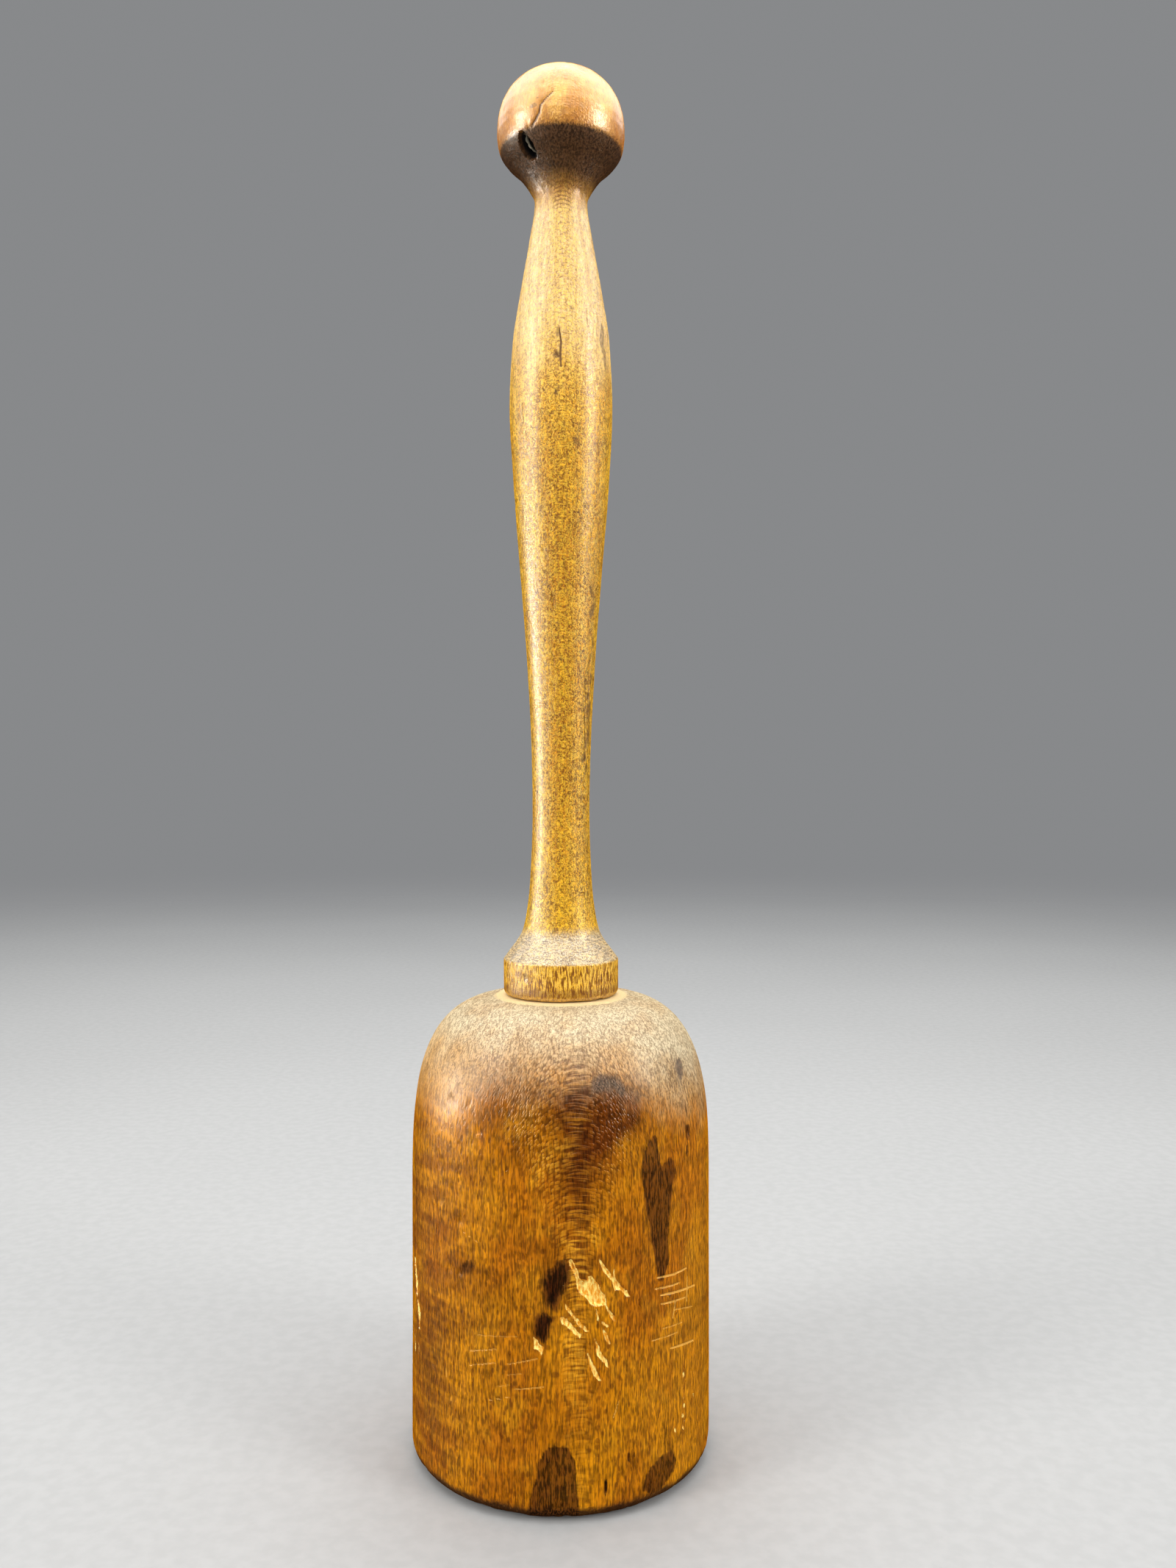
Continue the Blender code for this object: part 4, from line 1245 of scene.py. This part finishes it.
    # near black under the lip: partly dirt, partly painted shade under the knob's overhang
    grime_and_shade = (fine * 0.5 + pores * 0.5).ramp(0.38, 0.62).blend(rgb(30, 18, 14), rgb(84, 55, 35))
    base = base.over(lip * run * 0.95, grime_and_shade)

    # worn grey-white cone above the collar, its white partly a painted highlight from the light
    # above
    cone_z = z + fine.swing(1.6)
    cone = cone_z.ramp(138.3, 139.2) * cone_z.ramp(149, 145)
    turning = place.grain(0.5, 3.4, detail=3, rough=0.6)
    worn = (speck * 0.5 + turning * 0.5).ramp(0.42, 0.58)
    base = base.over(cone * turning.ramp(0.62, 0.4, to=(0.45, 0.85)),
                     worn.blend(rgb(96, 76, 58), rgb(228, 216, 188)))

    # collar: strong upright dashes, dirt above the lower corner, pale broken corner
    band = z.ramp(139, 138.3)
    dash = place.grain(2.5, 0.4)
    base = base.over(band * 0.4, rgb(232, 168, 40))
    base = base.over(band * dash.ramp(0.50, 0.40, to=(0, 0.5)), rgb(255, 208, 92))
    base = base.over(band * dash.ramp(0.50, 0.57, to=(0, 0.9)), rgb(112, 58, 8))
    dirt = (z + speck.swing(2.2)).ramp(133, 130.9) * z.ramp(129.4, 130.2)
    base = base.over(dirt * 0.6, rgb(108, 62, 18))
    corner = speck.blend(rgb(130, 84, 36), rgb(228, 190, 120))
    base = base.over(z.ramp(129.9, 129.5) * 0.6, corner)

    # stains, cracks, the worm hole painted black as painted shade, and its splinter painted pale
    # as the highlight along its ridge
    edge = place.grain(1.4, 0.4, detail=3, rough=0.6).swing(0.7) + speck.swing(0.4)
    mark = wood.mask("m_stain")
    stain = (mark + edge * mark.ramp(0, 0.3)).ramp(0.35, 0.8)
    base = base.over(stain * fine.ramp(0.3, 0.62, to=(0.85, 0.45)), rgb(78, 48, 26))
    distance = wood.mask("m_cut") + speck.swing(0.22)
    cut = (distance - wood.mask("m_cutw")).ramp(0.12, -0.04) * wood.mask("m_cuts")
    base = base.over(cut * 0.9, rgb(82, 46, 20))
    # painted shade inside the worm hole, then a painted highlight along the splinter's ridge
    base = base.over(wood.mask("m_hole").ramp(0.12, 0.5), (0.006, 0.006, 0.007))
    base = base.over(wood.mask("m_rib").ramp(0.5, 0.8) * 0.85, rgb(190, 182, 160))

    # polish, dull on the cone and in the dirty, shade-painted zone under the knob, weaker near
    # the radial line
    bare = (cone * 0.35).max(lip * run * 0.3, clamp=True)
    keep = knob.lerp(wood.facing(full=0.42, none=0.84), wood.facing(full=0.56, none=0.93))
    keep = keep * (1.0 - lip * run * 0.6)
    gloss = off.ramp(2.5, 6.5, to=(0.2, 0.66)) * speck.ramp(0.40, 0.58, to=(0.72, 1.12))
    gloss = gloss * z.ramp(160, 240, to=(0.76, 1))
    relief = pores * 0.7 + fig.flecks * lie * 0.4
    relief = relief + speck * 0.35
    relief = relief - (worm * calm + vein * low) * 0.4
    relief = relief + painted_glint * calm * 0.4
    relief = relief - cut * 1.4
    return wood.finish({
        "Base Color": base,
        "Roughness": bare.lerp(fine.ramp(0.3, 0.7, to=(0.30, 0.44)), 0.55),
        "Specular IOR Level": keep * cone.max(knob).lerp(0.22, 0.5),
        "Specular Tint": cone.blend((1.0, 0.86, 0.55), (1.0, 1.0, 0.96)),
        "Coat Weight": keep * knob.max(cone).lerp(gloss, 0.65),
        "Coat Roughness": knob.lerp(0.30, 0.22),
        "Normal": relief.bump(strength=0.62, distance=0.00016),
        "Coat Normal": relief.bump(strength=0.45, distance=0.00014),
    })


def wedge_wood():
    wood = Material("wedge_bare_wood")
    place = wood.place_mm()
    grain = place.grain(2.2, 0.25, detail=3, rough=0.55)
    fleck = place.grain(1.0, 0.4)
    base = grain.ramp(0.35, 0.65).blend((0.40, 0.24, 0.11), (0.66, 0.45, 0.24))
    return wood.finish({
        "Base Color": base.shade(fleck.ramp(0.3, 0.7, to=(0.8, 1.05))),
        "Roughness": grain.ramp(0.3, 0.7, to=(0.72, 0.55)),
        "Normal": grain.bump(strength=0.6, distance=0.0002),
    })


# ------------------------------------------------------------------ assembly
def install(obj, material, piece):
    """Give a piece its wood, hang it under the root body and hide the CAD piece it stands for."""
    obj.data.materials.clear()
    obj.data.materials.append(material)
    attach(obj, "root")
    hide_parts(piece)


install(make_head(), head_wood(), "head")
install(make_handle(), handle_wood(), "handle")
install(make_wedge(), wedge_wood(), "tenon_wedge")


# --------------------------------------------------------------------- stage
def floor_material():
    """Pale grey, almost black in reflections, fading out towards the rim."""
    pale = Material("pale_floor")
    place = pale.place()
    base = place.noise(scale=3.0).blend((0.40, 0.40, 0.397), (0.45, 0.45, 0.446))
    base = base.shade(place.noise(scale=220.0).ramp(0.3, 0.7, to=(0.96, 1.02)))
    base = base.over(pale.source("LightPath", "Is Glossy Ray"), base.shade(0.06))
    x, y, _ = place.split()
    return pale.finish({
        "Base Color": base,
        "Roughness": 0.75,
        "Specular IOR Level": 0.0,
        "Alpha": (x * x + y * y).math("SQRT").ramp(2.6, 0.7),
    })


def add_floor():
    bm = bmesh.new()
    bmesh.ops.create_circle(bm, cap_ends=True, cap_tris=False, segments=96, radius=2.7)
    mesh = bpy.data.meshes.new("studio_floor")
    bm.to_mesh(mesh)
    bm.free()
    obj = link("studio_floor", mesh)
    obj.location.z = -0.0002
    mesh.materials.append(floor_material())


def aim_at(obj, target, azimuth, elevation, distance):
    """Place obj round target and turn it to face it; azimuth 0 is the front, + is right."""
    a, e = math.radians(azimuth), math.radians(elevation)
    way = Vector((math.sin(a) * math.cos(e), -math.cos(a) * math.cos(e), math.sin(e)))
    offset = way * distance
    obj.location = Vector(target) + offset
    obj.rotation_euler = offset.to_track_quat("Z", "Y").to_euler()


def add_area(name, place, size, power, colour, target):
    """Soft light for shading only; the sheen cards make the highlights."""
    light = bpy.data.lights.new(name, "AREA")
    light.shape = "RECTANGLE"
    light.size, light.size_y = size
    light.energy, light.color = power, colour
    obj = bpy.data.objects.new(name, light)
    aim_at(obj, target, *place)
    obj.visible_camera = obj.visible_glossy = False
    bpy.context.scene.collection.objects.link(obj)


def add_sheen(name, place, size, strength, target):
    """Soft white card that only shows as a sheen on polished wood."""
    bm = bmesh.new()
    bmesh.ops.create_grid(bm, x_segments=6, y_segments=6, size=0.5)
    mesh = bpy.data.meshes.new(name)
    bm.to_mesh(mesh)
    bm.free()
    obj = link(name, mesh)
    aim_at(obj, target, *place)
    obj.scale = (*size, 1.0)
    card = Material(name)
    u, v, _ = card.place().split()
    fade = abs(u).ramp(0.5, 0.3) * abs(v).ramp(0.5, 0.4)
    mesh.materials.append(card.finish({
        "Base Color": (0.0, 0.0, 0.0),
        "Specular IOR Level": 0.0,
        "Emission Color": (1.0, 0.985, 0.96),
        "Emission Strength": fade * strength,
    }))
    obj.visible_camera = obj.visible_diffuse = obj.visible_shadow = False
    obj.visible_transmission = obj.visible_volume_scatter = False


def add_world():
    """Soft grey room: bright for shading, dim in reflections, mid grey to the camera."""
    world = bpy.data.worlds.new("soft_room")
    bpy.context.scene.world = world
    world.use_nodes = True
    tree = world.node_tree
    tree.nodes.clear()
    rays = build(tree, "LightPath").outputs
    room, gloss, backdrop = [
        Value(build(tree, "Background", (colour, strength)).outputs[0])
        for colour, strength in (((0.80, 0.82, 0.84), 0.68), ((0.80, 0.82, 0.84), 0.03),
                                 ((0.245, 0.25, 0.257), 1.0))]
    lit = room.node("MixShader", (Value(rays["Is Glossy Ray"]), room, gloss))
    seen = lit.node("MixShader", (Value(rays["Is Camera Ray"]), lit, backdrop))
    build(tree, "OutputWorld", (seen,))


def add_camera():
    lens = bpy.data.cameras.new("photo_view")
    lens.lens = 28.69
    lens.sensor_width = 36.0
    lens.clip_start = 0.01
    camera = link("photo_view", lens)
    camera.location = (0.00776, -0.36056, 0.19009)
    camera.rotation_euler = (math.radians(90.0 - 0.19), 0.0, 0.0)
    bpy.context.scene.camera = camera


WARM_WHITE = (1.0, 0.985, 0.96)
MIDDLE = (0, 0, 0.2)
# name, (azimuth, elevation, distance), size, power, colour, target
AREAS = [
    ("key_left", (-60, 20, 2.2), (0.70, 1.58), 28.8, WARM_WHITE, MIDDLE),
    ("key_right", (60, 20, 2.2), (0.70, 1.58), 25.6, WARM_WHITE, MIDDLE),
    ("fill_front", (0, 16, 1.4), (0.9, 0.8), 1.6, WARM_WHITE, MIDDLE),
    ("overhead", (0, 90, 0.72), (1.1, 0.85), 5.2, (1.0, 0.99, 0.975), (0, 0.03, 0)),
    ("back_soft", (180, 52, 1.5), (1.0, 0.8), 7.0, (1, 1, 1), MIDDLE),
]
# name, (azimuth, elevation, distance), size, strength, target
SHEENS = [
    ("sheen_left", (-70, 24, 1.1), (0.42, 0.95), 24.5, MIDDLE),
    ("sheen_low", (-92, 5, 1.1), (0.42, 0.34), 56.0, (0, 0, 0.1)),
    ("sheen_right", (71, 26, 1.1), (0.40, 0.85), 31.0, MIDDLE),
    ("sheen_top", (0, 90, 0.72), (1.3, 0.5), 5.0, (0, -0.1, 0)),
    ("sheen_rear", (0, 90, 0.72), (1.3, 0.5), 3.0, (0, 0.36, 0.001)),
    ("sheen_front", (0, 40, 0.62), (0.8, 0.36), 3.0, (0, 0, 0.33)),
]
add_floor()
for area in AREAS:
    add_area(*area)
for sheen in SHEENS:
    add_sheen(*sheen)
add_world()
view = bpy.context.scene.view_settings
view.view_transform = "Standard"
view.look = "None"
add_camera()

bpy.context.view_layer.update()
